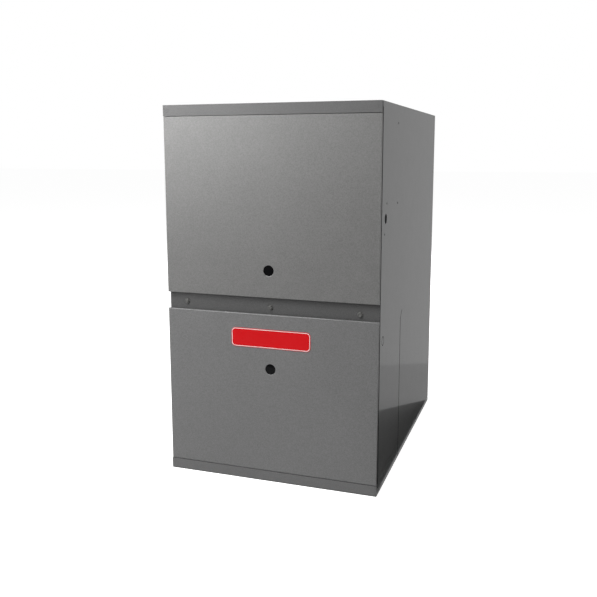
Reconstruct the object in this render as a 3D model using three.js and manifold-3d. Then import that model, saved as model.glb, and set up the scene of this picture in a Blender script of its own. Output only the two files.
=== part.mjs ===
// A forced air gas furnace in an upright steel cabinet. Millimetres, +Z up.
// The origin is the middle of the base on the floor, the doors face -Y and +X is to the right of
// someone who faces them. Depths are counted back from the face of the front rails.
import * as THREE from "three";
import { mergeVertices } from "three/addons/utils/BufferGeometryUtils.js";
import Module from "manifold-3d";

const wasm = await Module();
wasm.setup();

// ---------------------------------------------------------------------------------------------
// Driving dimensions
// ---------------------------------------------------------------------------------------------

// Cabinet
const cabinetWidth = 514.35;
const cabinetDepth = 711.2;
const cabinetHeight = 876.3;
const sheet = 1;
const seat = 0.3; // gap left between two pieces that rest on each other
const flange = 19; // turned-in edge of the side and back panels
const wrapSetback = 13.5; // rail face to the front flange of the side panels
const backReturn = 20; // forward flange of the back panel beside each side panel
const linerThickness = 12;

// Front, from the floor up
const baseRailHeight = 24.7;
const baseLegHeight = 15.7;
const baseLegDepth = 53.7;
const lowerDoorHeight = 376.8;
const dividerSpace = 39; // between the two doors
const topRailHeight = 25;
const doorReveal = 0.5; // gap above and below a door
const doorSetback = 1.1; // rail face to door face
const doorPanDepth = 7.4;
const doorEdgeRadius = 1.6;
const railReturn = 10; // lips of the rails behind their faces
const railInset = 0.3;
const dividerSetback = 12.2;
const dividerInset = 0.8;
const dividerLip = 9;
const sideGap = 0.7; // divider strip to door edge

// Sight holes and badge
const sightHoleRadius = 12.5;
const sightGlassClearance = 0.3;
const sightGlassRim = 4.5;
const sightGlassThickness = 2;
const upperSightRise = 62.8; // above the bottom edge of the upper door
const lowerSightDrop = 128.9; // below the top edge of the lower door
const lowerSightShift = 2.8; // to the right of the cabinet's middle
const badgeWidth = 194;
const badgeHeight = 45;
const badgeCornerRadius = 10;
const badgeThickness = 0.8;
const badgeDrop = 57; // lower door's top edge to the badge's middle
const badgeShift = 3.8;

// Screws
const shankRadius = 1.9;
const shankClearance = 0.3;
const hexHeadRadius = 4.4;
const hexHeadHeight = 3.2;
const washerRadius = 5.4;
const washerThickness = 0.9;
const dividerScrewEdge = 45.2; // cabinet's side to the axes of the outer screws
const dividerScrewSag = 2.4; // each screw stands this much lower than the one on its left
const flatHeadRadius = 3.5;
const flatHeadHeight = 1.6;
const railScrewEdge = 8; // in from the rail's end

// Right side openings
const electricalHoleRadius = 11.1;
const electricalHoleDepth = 52;
const electricalHoleRise = 183.7; // above the bottom edge of the upper door
const knockoutRadius = 10;
const knockoutSlot = 0.6;
const knockoutTie = 4;
const knockoutDepth = 41;
const knockoutDrop = 50; // below the top edge of the lower door
const returnLineDepth = 238;
const returnLineDrop = 20.4; // below the top edge of the lower door
const returnLineChamfer = 18;
const returnLineWidth = 3;
const returnLineGroove = 0.4;
const junctionBoxDepth = 62;
const junctionBoxHeight = 74;
const junctionBoxReach = 46;

// Partitions
const deckRise = 28.5; // lower door's top edge to the top of the blower deck
const deckLip = 19;
const vestibuleDepth = 230; // rail face to the front of the vestibule panel
const topPanelLip = 24;
const flueHoleClearance = 3;

// Burners, gas train and heat exchanger
const tubeCount = 4;
const tubeEdge = 107.175; // cabinet's side to the axes of the outer tubes
const tubeRadius = 22.2;
const tubeWall = 1.4;
const exhaustDrop = 134.5; // cabinet's top to the axes of the tubes' outlets
const passShares = [0.37, 0.315, 0.315]; // of the rise from inlet to outlet
const tubeBackGap = 57.9; // rearmost point of the tubes to the liner
const tubeFrontClearance = 10;
const burnerLength = 134;
const burnerMouthRadius = 20.5;
const burnerThroatRadius = 10;
const burnerBellRadius = 17;
const burnerWall = 1.2;
const burnerToVestibule = 4;
const bracketThickness = 1.2;
const bracketOverhang = 34; // outer burner's axis to the bracket's end plate
const bracketWallHeight = 42;
const manifoldRadius = 10.65;
const manifoldToBurner = 27;
const manifoldOverhang = 3;
const orificeRadius = 4.5;
const orificeGap = 3;
const valveWidth = 88;
const valveHeight = 72;
const valveDoorGap = 14.5; // back of the door's edge to the front of the valve
const valveOffset = 38; // outer burner's axis to the middle of the valve and its riser
const riserHeight = 61;
const valvePortRadius = 19;
const valvePortBore = 12;
const valvePortLength = 14;
const knobRadius = 16;
const knobHeight = 12;
const knobStemRadius = 5;
const knobStemDepth = 4;
const igniterHeight = 30;
const sensorRodRadius = 1.4;
const switchDiscRadius = 9.5;
const switchDiscHeight = 9;
const switchPlateWidth = 32;
const switchPlateHeight = 16;
const rolloutRise = 52.2; // above the axes of the burners
const rolloutShift = 40;
const resetRadius = 2.5;
const resetReach = 3;
const limitShare = 0.522; // of the rise from inlet to outlet
const limitProbeRadius = 4;
const limitProbeLength = 70;

// Collector box and induced draft blower
const collectorMargin = 32; // outer tube's axis to the collector's end
const collectorHeight = 84;
const collectorDepth = 38;
const inducerWheelRadius = 52;
const inducerWheelWidth = 26;
const inducerTipGap = 9;
const inducerGrowth = 20;
const inducerDepth = 44;
const inducerWall = 2;
const inducerInletRadius = 30;
const inducerShaftRadius = 4;
const inducerMotorRadius = 42;
const inducerMotorLength = 52;
const coolingFanRadius = 34;
const coolingFanGap = 14;
const flueRadius = 38;
const flueWall = 1.2;
const flueTopDrop = 2;
const pressureSwitchRadius = 36;
const pressureSwitchThickness = 28;
const pressureSwitchEdge = 69.175; // cabinet's side to the switch's axis
const pressureSwitchGap = 8.8; // below the collector box
const pressureStandoff = 24;
const pressurePlateHalf = 24;
const pressurePlateThickness = 2;
const pressureFootHeight = 14;
const pressurePortLength = 14;
const pressurePortShift = 14;
const hoseRadius = 3.6;
const hoseWall = 1.4;
const hoseBendRadius = 14;
const hoseTapShift = 96; // inducer's axis to the hose's end on the collector box

// Circulating blower
const blowerWheelRadius = 127;
const blowerWheelWidth = 203;
const bladeCount = 26;
const bladeDepth = 17;
const bladeThickness = 2.4;
const wheelRim = 4;
const hubRadius = 16;
const hubLength = 28;
const hubShift = 34; // wheel's middle to its centre disc, away from the motor
const blowerTipGap = 12;
const blowerGrowth = 60;
const blowerWall = 1.5;
const blowerSideGap = 13;
const blowerInletRadius = 112;
const blowerBehindMiddle = 44.4; // cabinet's middle to the wheel's axis
const blowerFloorGap = 22;
const blowerLip = 20;
const shaftRadius = 6.35;
const shaftClearance = 0.5;
const motorRadius = 70;
const motorLength = 140;
const motorNose = 9;
const motorProud = 46; // motor's outer end beyond the housing's side
const bandWidth = 24;
const bandThickness = 2.5;
const motorArmCount = 3;

// Controls in the blower compartment
const controlPlateDepth = 120; // rail face to the control bracket
const controlPlateWidth = 320;
const controlPlateHeight = 218;
const controlFoot = 22;
const boardWidth = 178;
const boardHeight = 112;
const boardThickness = 1.8;
const boardStandoff = 8;
const boardShift = 38;
const boardDrop = 154.5; // blower deck to the board's middle
const relayHeight = 20;
const transformerWidth = 58;
const transformerHeight = 52;
const transformerDepth = 48;
const transformerShift = -106;
const capacitorRadius = 20;
const capacitorLength = 74;
const capacitorShift = -106;
const doorSwitchEdge = 81.175; // cabinet's side to the switch's middle
const doorSwitchWidth = 22;
const doorSwitchHeight = 34;
const doorSwitchDepth = 30;
const doorSwitchDrop = 62; // blower deck to the switch's middle
const plungerRadius = 4;
const plungerReach = 14;
const plungerTravel = 4;
const harnessRadius = 6;
const harnessEdge = 61.175; // cabinet's side to the harness
const harnessPlateGap = 24; // axis of the harness to the control bracket
const grommetWall = 4;

// How finely round shapes are faceted
const coarseSides = 12;
const mediumSides = 20;
const fineSides = 32;
const tubeSides = 10;
const bendSteps = 3;

// ---------------------------------------------------------------------------------------------
// Places worked out from the dimensions
// ---------------------------------------------------------------------------------------------

const deep = (depth) => depth - cabinetDepth / 2;
const halfWidth = cabinetWidth / 2;
const innerFace = halfWidth - sheet;
const innerHalf = innerFace - seat - sheet - seat; // partitions stop here, clear of the back's flanges

const lowerDoorBottom = baseRailHeight + doorReveal;
const lowerDoorTop = lowerDoorBottom + lowerDoorHeight;
const upperDoorBottom = lowerDoorTop + dividerSpace;
const topRailBottom = cabinetHeight - topRailHeight;
const upperDoorTop = topRailBottom - doorReveal;
const deckTop = lowerDoorTop + deckRise;
const deckUnder = deckTop - sheet;
const panelTop = cabinetHeight - sheet - seat; // partitions end below the top flanges
const dividerScrewSpacing = halfWidth - dividerScrewEdge;
const electricalHoleHeight = upperDoorBottom + electricalHoleRise;
const knockoutHeight = lowerDoorTop - knockoutDrop;
const returnLineTop = lowerDoorTop - returnLineDrop;

const frontBurnerX = tubeEdge - halfWidth;
const tubePitch = (-2 * frontBurnerX) / (tubeCount - 1);
const burnerXs = Array.from({ length: tubeCount }, (_, index) => frontBurnerX + index * tubePitch);
const burnerHeight = upperDoorBottom + upperSightRise; // the sight hole looks at the flames
const exhaustHeight = cabinetHeight - exhaustDrop;
const tubeRise = exhaustHeight - burnerHeight;
const passRises = passShares.map((share) => share * tubeRise);
const tubeBackReach = cabinetDepth - sheet - seat - linerThickness - tubeBackGap;
const vestibuleBack = vestibuleDepth + sheet;
const burnerBack = vestibuleDepth - burnerToVestibule;
const burnerFront = burnerBack - burnerLength;
const manifoldDepth = burnerFront - manifoldToBurner;
const bracketTop = burnerHeight - burnerMouthRadius - seat;
const bracketHalf = -frontBurnerX + bracketOverhang;
const bracketFront = manifoldDepth - manifoldRadius - seat - bracketThickness;
const valveShift = frontBurnerX + valveOffset;
const valveDepth = 2 * (manifoldDepth - doorSetback - doorPanDepth - valveDoorGap);
const rolloutHeight = burnerHeight + rolloutRise;
const limitHeight = burnerHeight + limitShare * tubeRise;

const collectorFront = vestibuleDepth - seat - collectorDepth;
const inducerBack = collectorFront - seat;
const inducerFront = inducerBack - inducerDepth;
const inducerHeight = exhaustHeight;
const inducerX = 0;
const pressureSwitchShift = pressureSwitchEdge - halfWidth;
const collectorBottom = exhaustHeight - collectorHeight / 2;
const pressureSwitchHeight = collectorBottom - pressureSwitchRadius - pressureSwitchGap;
const pressurePlateDepth = vestibuleDepth - seat - pressureStandoff;

const blowerStart = blowerWheelRadius + blowerTipGap;
const scrollStart = Math.PI / 6;
const scrollEnd = (3 * Math.PI) / 2;
const scrollBottom = Math.PI;
const blowerLowest = blowerStart + blowerGrowth * scrollShare(scrollBottom);
const blowerAxisHeight = sheet + seat + sheet + blowerFloorGap + blowerLowest;
const blowerHalf = blowerWheelWidth / 2 + blowerSideGap;
const blowerTop = deckUnder - seat;
const blowerAxisDepth = cabinetDepth / 2 + blowerBehindMiddle;

const boardMiddleHeight = deckUnder - boardDrop;
const doorSwitchShift = halfWidth - doorSwitchEdge;
const harnessShift = halfWidth - harnessEdge;
const harnessDepth = controlPlateDepth - harnessPlateGap;
const doorSwitchHeightAt = deckUnder - doorSwitchDrop;
const plungerTip = doorSetback + sheet + seat;
const doorSwitchFront = plungerTip + plungerReach;

// ---------------------------------------------------------------------------------------------
// Helpers
// ---------------------------------------------------------------------------------------------

// Share of a scroll's growth reached at an angle, counted from straight up towards the front.
function scrollShare(angle) {
  return (angle - Math.PI / 6) / ((3 * Math.PI) / 2 - Math.PI / 6);
}

function toSolid(geometry) {
  const bare = geometry.clone();
  bare.deleteAttribute("normal");
  bare.deleteAttribute("uv");
  const merged = mergeVertices(bare, 1e-4);
  return new wasm.Manifold(
    new wasm.Mesh({
      numProp: 3,
      vertProperties: merged.attributes.position.array,
      triVerts: new Uint32Array(merged.index.array),
    }),
  );
}

function toGeometry(solid) {
  const mesh = solid.getMesh();
  const geometry = new THREE.BufferGeometry();
  geometry.setAttribute("position", new THREE.BufferAttribute(mesh.vertProperties, 3));
  geometry.setIndex(new THREE.BufferAttribute(mesh.triVerts, 1));
  const faceted = geometry.toNonIndexed();
  faceted.computeVertexNormals();
  return faceted;
}

function join(...geometries) {
  return toGeometry(geometries.map(toSolid).reduce((sum, solid) => sum.add(solid)));
}

function cut(geometry, ...tools) {
  return toGeometry(tools.map(toSolid).reduce((rest, tool) => rest.subtract(tool), toSolid(geometry)));
}

function keepInside(geometry, limit) {
  return toGeometry(toSolid(geometry).intersect(toSolid(limit)));
}

function ordered(first, second) {
  return [Math.min(first, second), Math.max(first, second)];
}

// A box between two values on each axis.
function block([x0, x1], [y0, y1], [z0, z1]) {
  const geometry = new THREE.BoxGeometry(x1 - x0, y1 - y0, z1 - z0);
  return geometry.translate((x0 + x1) / 2, (y0 + y1) / 2, (z0 + z1) / 2);
}

// Turns a shape made along Y so that it lies along the named axis.
function alongAxis(geometry, axis) {
  if (axis === "x") geometry.rotateZ(-Math.PI / 2);
  if (axis === "z") geometry.rotateX(Math.PI / 2);
  return geometry;
}

// A round bar between two values on its axis. centre gives the other two coordinates.
function bar(axis, radius, [from, to], centre, sides = coarseSides) {
  const geometry = new THREE.CylinderGeometry(radius, radius, to - from, sides);
  alongAxis(geometry, axis);
  const middle = (from + to) / 2;
  const place = { x: [middle, ...centre], y: [centre[0], middle, centre[1]], z: [...centre, middle] };
  return geometry.translate(...place[axis]);
}

// A turned piece about the Y axis: profile holds [radius, y] pairs.
function turned(profile, sides) {
  return new THREE.LatheGeometry(profile.map(([radius, y]) => new THREE.Vector2(radius, y)), sides);
}

function circlePoints(radius, sides, [u, v] = [0, 0]) {
  return Array.from({ length: sides }, (_, index) => {
    const angle = (index / sides) * 2 * Math.PI;
    return new THREE.Vector2(u + radius * Math.cos(angle), v + radius * Math.sin(angle));
  });
}

// Corner radius of a faceted hole whose flats stay clear of a round piece of this radius.
function clearRadius(radius, sides) {
  return (radius + seat) / Math.cos(Math.PI / sides);
}

function outlineShape(points, holes = []) {
  const shape = new THREE.Shape(points);
  shape.holes = holes.map((hole) => new THREE.Path(hole));
  return shape;
}

function rectangle([u0, u1], [v0, v1]) {
  return [
    new THREE.Vector2(u0, v0),
    new THREE.Vector2(u1, v0),
    new THREE.Vector2(u1, v1),
    new THREE.Vector2(u0, v1),
  ];
}

function slab(shape, thickness) {
  return new THREE.ExtrudeGeometry(shape, { depth: thickness, bevelEnabled: false });
}

// Stands a slab up so that its outline lies in X and Z and its thickness runs back from a depth.
function facingFront(geometry, thickness, depth) {
  return geometry.rotateX(Math.PI / 2).translate(0, deep(depth) + thickness, 0);
}

// Stands a slab up so that its outline lies in Y and Z and its thickness runs along +X.
function facingSide(geometry, x) {
  const turn = new THREE.Matrix4().makeBasis(
    new THREE.Vector3(0, 1, 0),
    new THREE.Vector3(0, 0, 1),
    new THREE.Vector3(1, 0, 0),
  );
  return geometry.applyMatrix4(turn).translate(x, 0, 0);
}

// A route given station by station, so that straight runs need only their two ends.
class StationCurve extends THREE.Curve {
  constructor(stations) {
    super();
    this.stations = stations;
  }
  station(share) {
    return this.stations[Math.round(share * (this.stations.length - 1))];
  }
  getPointAt(share) {
    return this.station(share).point.clone();
  }
  getTangentAt(share) {
    return this.station(share).tangent.clone();
  }
}

// Stations along a polyline whose inner corners are rounded to one bend radius.
function roundedRoute(corners, radius) {
  const points = corners.map((corner) => new THREE.Vector3(...corner));
  const stations = [];
  const addStation = (point, tangent) => {
    const last = stations[stations.length - 1];
    if (!last || last.point.distanceTo(point) > seat) stations.push({ point, tangent });
  };
  const direction = (index) => points[index + 1].clone().sub(points[index]).normalize();
  addStation(points[0], direction(0));
  for (let index = 1; index < points.length - 1; index += 1) {
    const before = direction(index - 1);
    const after = direction(index);
    const half = before.angleTo(after) / 2;
    const setback = radius * Math.tan(half);
    const bendStart = points[index].clone().addScaledVector(before, -setback);
    const sideways = after.clone().addScaledVector(before, -after.dot(before)).normalize();
    const centre = bendStart.clone().addScaledVector(sideways, radius);
    for (let step = 0; step <= bendSteps; step += 1) {
      const turn = (step / bendSteps) * 2 * half;
      const [along, across] = [Math.cos(turn), Math.sin(turn)];
      const tangent = before.clone().multiplyScalar(along).addScaledVector(sideways, across);
      const outward = sideways.clone().multiplyScalar(-along).addScaledVector(before, across);
      addStation(centre.clone().addScaledVector(outward, radius), tangent);
    }
  }
  addStation(points[points.length - 1], direction(points.length - 2));
  return stations;
}

function swept(section, corners, bendRadius) {
  const stations = roundedRoute(corners, bendRadius);
  return new THREE.ExtrudeGeometry(section, {
    steps: stations.length - 1,
    extrudePath: new StationCurve(stations),
    bevelEnabled: false,
  });
}

// A sheet pan open at the back: its face is rounded into the four edges.
function roundedPan([x0, x1], [z0, z1], front, depth, radius, wall) {
  const rounded = (inset, start) => {
    const bend = radius - inset;
    const face = rectangle([x0 + radius, x1 - radius], [z0 + radius, z1 - radius]);
    const bevel = { bevelEnabled: true, bevelSize: bend, bevelThickness: bend, bevelSegments: 3 };
    const geometry = new THREE.ExtrudeGeometry(outlineShape(face), { depth: 2 * depth, ...bevel });
    return geometry.rotateX(-Math.PI / 2).rotateY(Math.PI).translate(0, deep(start) + bend, 0);
  };
  const outer = keepInside(
    rounded(0, front),
    block([x0 - 1, x1 + 1], [deep(front) - 1, deep(front + depth)], [z0 - 1, z1 + 1]),
  );
  return cut(outer, rounded(wall, front + wall));
}

// A blower scroll in the plane of its wheel: u runs back, v runs up, and the outlet faces up.
function scrollPoints(startRadius, growth, outletTop, inset = 0) {
  const steps = 18;
  const points = [];
  for (let step = 0; step <= steps; step += 1) {
    const angle = scrollStart + (step / steps) * (scrollEnd - scrollStart);
    const radius = startRadius + growth * scrollShare(angle) - inset;
    points.push(new THREE.Vector2(-radius * Math.sin(angle), radius * Math.cos(angle)));
  }
  const last = points[points.length - 1];
  points.push(new THREE.Vector2(last.x, outletTop));
  points.push(new THREE.Vector2(points[0].x, outletTop));
  return points;
}

// ---------------------------------------------------------------------------------------------
// Materials
// ---------------------------------------------------------------------------------------------

function finish(color, roughness, metalness) {
  return () => new THREE.MeshStandardMaterial({ color, roughness, metalness });
}

const cabinetPaint = finish(0x7f7f7e, 0.42, 0.35);
const galvanised = finish(0xa9adb0, 0.45, 0.85);
const aluminisedSteel = finish(0x8f9294, 0.4, 0.9);
const zincPlate = finish(0xb9bbb8, 0.3, 0.95);
const blackPaint = finish(0x1c1c1d, 0.5, 0.2);
const darkPlastic = finish(0x202123, 0.55, 0);
const foil = finish(0xc9cccf, 0.35, 0.9);
const brass = finish(0xb08d4a, 0.35, 0.95);
const castAluminium = finish(0x9fa2a4, 0.5, 0.85);
const smokedGlass = finish(0x101112, 0.1, 0);
const badgeRed = finish(0xd01217, 0.3, 0);
const circuitBoard = finish(0x2f5a3a, 0.5, 0);
const ceramic = finish(0xe4e0d6, 0.7, 0);
const blackRubber = finish(0x1a1a1a, 0.8, 0);
const resetRed = finish(0xb3261e, 0.45, 0);

const furnace = new THREE.Group();

function place(name, geometry, material, parent = furnace) {
  const mesh = new THREE.Mesh(geometry, material());
  mesh.name = name;
  parent.add(mesh);
  return mesh;
}

// ---------------------------------------------------------------------------------------------
// Cabinet
// ---------------------------------------------------------------------------------------------

// A side panel drawn for the right: a flat sheet with front, top and bottom flanges turned in.
function sidePanelBlank() {
  const sheetSpan = [innerFace, halfWidth];
  const flangeSpan = [halfWidth - flange, halfWidth];
  const depthSpan = [deep(wrapSetback), deep(cabinetDepth)];
  const body = join(
    block(sheetSpan, depthSpan, [0, cabinetHeight]),
    block(flangeSpan, [deep(wrapSetback), deep(wrapSetback + sheet)], [0, cabinetHeight]),
    block(flangeSpan, depthSpan, [cabinetHeight - sheet, cabinetHeight]),
    block(flangeSpan, depthSpan, [0, sheet]),
  );
  const legNotch = block(
    [halfWidth - flange - 1, halfWidth + 1],
    [deep(0), deep(baseLegDepth + seat)],
    [-1, baseLegHeight + seat],
  );
  return cut(body, legNotch, railScrewHole(1));
}

function railScrewX(side) {
  return side * (halfWidth - railInset - railScrewEdge);
}

function railScrewHole(side) {
  const height = topRailBottom + topRailHeight / 2;
  const span = [deep(wrapSetback - 1), deep(wrapSetback + sheet + 1)];
  return bar("y", shankRadius + shankClearance, span, [railScrewX(side), height]);
}

// The scored line of the side return cut-out: up from the base and over a chamfer towards the back.
function returnLine() {
  const points = [
    [returnLineDepth, sheet + 1],
    [returnLineDepth, returnLineTop - returnLineChamfer],
    [returnLineDepth + returnLineChamfer, returnLineTop],
  ].map(([depth, height]) => new THREE.Vector2(deep(depth), height));
  const edge = points.map((point) => new THREE.Vector2(point.x + returnLineWidth, point.y));
  const shape = outlineShape([...points, ...edge.reverse()]);
  return facingSide(slab(shape, returnLineGroove + 1), halfWidth - returnLineGroove);
}

// A ring slot that leaves a round knock-out hanging on two ties.
function knockoutSlots() {
  const centre = [deep(knockoutDepth), knockoutHeight];
  const outer = circlePoints(knockoutRadius, mediumSides, centre);
  const inner = circlePoints(knockoutRadius - knockoutSlot, mediumSides, centre);
  const ring = facingSide(slab(outlineShape(outer, [inner]), sheet + 2), innerFace - 1);
  const tie = block(
    [innerFace - 2, halfWidth + 2],
    [centre[0] - knockoutTie / 2, centre[0] + knockoutTie / 2],
    [knockoutHeight - knockoutRadius - 1, knockoutHeight + knockoutRadius + 1],
  );
  return cut(ring, tie);
}

function makeCabinet() {
  const electricalHole = bar(
    "x",
    electricalHoleRadius,
    [innerFace - 1, halfWidth + 1],
    [deep(electricalHoleDepth), electricalHoleHeight],
    mediumSides,
  );
  const slots = knockoutSlots();
  place("right_side_panel", cut(sidePanelBlank(), electricalHole, slots, returnLine()), cabinetPaint);
  place("left_side_panel", mirrored(sidePanelBlank()), cabinetPaint);
  place("back_panel", backPanel(), cabinetPaint);
  place("bottom_panel", bottomPanel(), galvanised);
  place("blower_deck", blowerDeck(), galvanised);
  place("vestibule_panel", vestibulePanel(), galvanised);
  place("top_vent_panel", topVentPanel(), cabinetPaint);
  place("cabinet_liner", cabinetLiner(), foil);
  place("top_front_rail", topFrontRail(), cabinetPaint);
  place("door_divider_strip", dividerStrip(), cabinetPaint);
  place("base_front_rail", baseFrontRail(), cabinetPaint);
}

// Mirrored left to right, with its faces still pointing out.
function mirrored(geometry) {
  const copy = geometry.clone().scale(-1, 1, 1);
  const position = copy.attributes.position;
  for (let first = 0; first < position.count; first += 3) {
    const swap = new THREE.Vector3().fromBufferAttribute(position, first + 1);
    const other = new THREE.Vector3().fromBufferAttribute(position, first + 2);
    position.setXYZ(first + 1, other.x, other.y, other.z);
    position.setXYZ(first + 2, swap.x, swap.y, swap.z);
  }
  copy.computeVertexNormals();
  return copy;
}

function backPanel() {
  const half = innerFace - seat;
  const flangeHalf = halfWidth - flange - seat;
  const back = deep(cabinetDepth);
  const parts = [
    block([-half, half], [back - sheet, back], [0, panelTop]),
    block([-flangeHalf, flangeHalf], [back - flange, back], [cabinetHeight - sheet, cabinetHeight]),
    block([-flangeHalf, flangeHalf], [back - sheet, back], [panelTop - 1, cabinetHeight]),
    block([-flangeHalf, flangeHalf], [back - flange, back], [0, sheet]),
    block([-half, -half + sheet], [back - backReturn, back], [sheet + seat, panelTop]),
    block([half - sheet, half], [back - backReturn, back], [sheet + seat, panelTop]),
  ];
  const cornerRelief = [-1, 1].map((side) =>
    block(
      ordered(side * flangeHalf, side * halfWidth),
      [back - flange, back + 1],
      [-1, sheet + seat],
    ),
  );
  return cut(join(...parts), ...cornerRelief);
}

function bottomPanel() {
  const span = [deep(wrapSetback + sheet + seat), deep(cabinetDepth - sheet - seat)];
  const pan = block([-innerHalf, innerHalf], span, [sheet + seat, 2 * sheet + seat]);
  const stiffener = block(
    [-innerHalf + flange, innerHalf - flange],
    [deep(baseLegDepth + flange), deep(baseLegDepth + flange + 2 * sheet)],
    [sheet + seat, 6 * sheet],
  );
  return join(pan, stiffener);
}

// Depths of the opening through which the circulating blower pushes its air.
function blowerOutlet() {
  const points = scrollPoints(blowerStart, blowerGrowth, 0);
  const axis = deep(blowerAxisDepth);
  const end = points[points.length - 2].x;
  return [axis + points[0].x + blowerWall, axis + end - blowerWall];
}

function blowerDeck() {
  const front = wrapSetback + sheet + seat;
  const span = [deep(front), deep(cabinetDepth - sheet - seat)];
  const plate = block([-innerHalf, innerHalf], span, [deckUnder, deckTop]);
  const lipHalf = halfWidth - flange - seat;
  const lip = block([-lipHalf, lipHalf], [deep(front), deep(front + sheet)], [deckTop - deckLip, deckTop]);
  const outletHalf = blowerHalf - blowerWall;
  const outlet = block([-outletHalf, outletHalf], blowerOutlet(), [deckUnder - 1, deckTop + 1]);
  const harnessHole = bar(
    "z",
    harnessRadius + grommetWall,
    [deckUnder - 1, deckTop + 1],
    [harnessShift, deep(harnessDepth)],
    mediumSides,
  );
  const screwSpan = [deep(front - 1), deep(front + sheet + 1)];
  const screwHoles = dividerScrewXs().map((x, index) =>
    bar("y", shankRadius + shankClearance, screwSpan, [x, dividerScrewHeight(index)]),
  );
  return cut(join(plate, lip), outlet, harnessHole, ...screwHoles);
}

function vestibulePanel() {
  const holeRadius = clearRadius(tubeRadius, mediumSides);
  const tubeHole = (x, height) => circlePoints(holeRadius, mediumSides, [x, height]);
  const firing = burnerXs.map((x) => tubeHole(x, burnerHeight));
  const exhaust = burnerXs.map((x) => tubeHole(x, exhaustHeight));
  const probe = circlePoints(clearRadius(limitProbeRadius, coarseSides), coarseSides, [0, limitHeight]);
  const outline = rectangle([-innerHalf, innerHalf], [deckTop + seat, panelTop]);
  const panel = slab(outlineShape(outline, [...firing, ...exhaust, probe]), sheet);
  return facingFront(panel, sheet, vestibuleDepth);
}

function flueAxis() {
  const points = scrollPoints(inducerWheelRadius + inducerTipGap, inducerGrowth, 0);
  const end = points[points.length - 2].x;
  return [inducerX + (points[0].x + end) / 2, deep((inducerFront + inducerBack) / 2)];
}

function topVentPanel() {
  const half = halfWidth - flange - seat;
  const back = deep(vestibuleDepth - seat);
  const plate = block([-half, half], [deep(wrapSetback), back], [cabinetHeight - sheet, cabinetHeight]);
  const lip = block([-half, half], [back - sheet, back], [cabinetHeight - topPanelLip, cabinetHeight]);
  const hole = bar(
    "z",
    flueRadius + flueHoleClearance,
    [cabinetHeight - 2 * sheet, cabinetHeight + 1],
    flueAxis(),
    fineSides,
  );
  return cut(join(plate, lip), hole);
}

function cabinetLiner() {
  const outer = innerHalf;
  const inner = outer - linerThickness;
  const back = deep(cabinetDepth - sheet - seat);
  const front = deep(vestibuleBack + seat);
  const shape = outlineShape([
    new THREE.Vector2(-outer, front),
    new THREE.Vector2(-inner, front),
    new THREE.Vector2(-inner, back - linerThickness),
    new THREE.Vector2(inner, back - linerThickness),
    new THREE.Vector2(inner, front),
    new THREE.Vector2(outer, front),
    new THREE.Vector2(outer, back),
    new THREE.Vector2(-outer, back),
  ]);
  const bottom = deckTop + seat;
  return slab(shape, panelTop - bottom).translate(0, 0, bottom);
}

// The rail's ends are turned back: fully in their upper half and as deep as a door below it.
function topFrontRail() {
  const half = halfWidth - railInset;
  const middle = topRailBottom + topRailHeight / 2;
  const reach = [deep(0), deep(railReturn)];
  const topReach = [deep(0), deep(wrapSetback - seat)];
  const ends = [-1, 1].flatMap((side) => {
    const skin = ordered(side * (half - sheet), side * half);
    return [
      block(skin, topReach, [middle, cabinetHeight]),
      block(skin, [deep(0), deep(doorPanDepth)], [topRailBottom, cabinetHeight]),
    ];
  });
  const rail = join(
    block([-half, half], [deep(0), deep(sheet)], [topRailBottom, cabinetHeight]),
    block([-half, half], topReach, [cabinetHeight - sheet, cabinetHeight]),
    block([-half, half], reach, [topRailBottom, topRailBottom + sheet]),
    ...ends,
  );
  const holeRadius = flatHeadRadius + shankClearance;
  const holes = [-1, 1].map((side) =>
    bar("y", holeRadius, [deep(-1), deep(sheet + 1)], [railScrewX(side), middle]),
  );
  return cut(rail, ...holes);
}

function dividerScrewXs() {
  return [-dividerScrewSpacing, 0, dividerScrewSpacing];
}

// The screws were driven by eye: their row falls towards the right.
function dividerScrewHeight(index) {
  return lowerDoorTop + dividerSpace / 2 - 1.9 - index * dividerScrewSag;
}

// A strip between the doors: its face stands back and its lips, behind the doors' edges, lie on the
// side panels.
function dividerStrip() {
  const half = halfWidth - dividerInset;
  const faceSpan = [lowerDoorTop + sideGap, upperDoorBottom - sideGap];
  const back = wrapSetback - seat;
  const lipSpan = [faceSpan[0] - dividerLip, faceSpan[1] + dividerLip];
  const lipDepth = [deep(back - sheet), deep(back)];
  const legDepth = [deep(dividerSetback), deep(back)];
  const strip = join(
    block([-half, half], [deep(dividerSetback), deep(dividerSetback + sheet)], faceSpan),
    block([-half, half], legDepth, [faceSpan[0], faceSpan[0] + sheet]),
    block([-half, half], legDepth, [faceSpan[1] - sheet, faceSpan[1]]),
    block([-half, half], lipDepth, [lipSpan[0], faceSpan[0] + sheet]),
    block([-half, half], lipDepth, [faceSpan[1] - sheet, lipSpan[1]]),
  );
  const holeSpan = [deep(dividerSetback - 1), deep(dividerSetback + sheet + 1)];
  const holes = dividerScrewXs().map((x, index) =>
    bar("y", shankRadius + shankClearance, holeSpan, [x, dividerScrewHeight(index)]),
  );
  return cut(strip, ...holes);
}

// The base rail turns round both corners and ends in a low leg on each side.
function baseFrontRail() {
  const reach = [deep(0), deep(doorSetback + doorPanDepth)];
  const legReach = [deep(0), deep(baseLegDepth)];
  const legs = [-1, 1].flatMap((side) => {
    const skin = ordered(side * innerFace, side * halfWidth);
    return [block(skin, legReach, [0, baseLegHeight]), block(skin, reach, [0, baseRailHeight])];
  });
  return join(
    block([-halfWidth, halfWidth], [deep(0), deep(sheet)], [0, baseRailHeight]),
    block([-halfWidth, halfWidth], reach, [baseRailHeight - sheet, baseRailHeight]),
    block([-halfWidth, halfWidth], legReach, [0, sheet]),
    ...legs,
  );
}

// ---------------------------------------------------------------------------------------------
// Screws
// ---------------------------------------------------------------------------------------------

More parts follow.
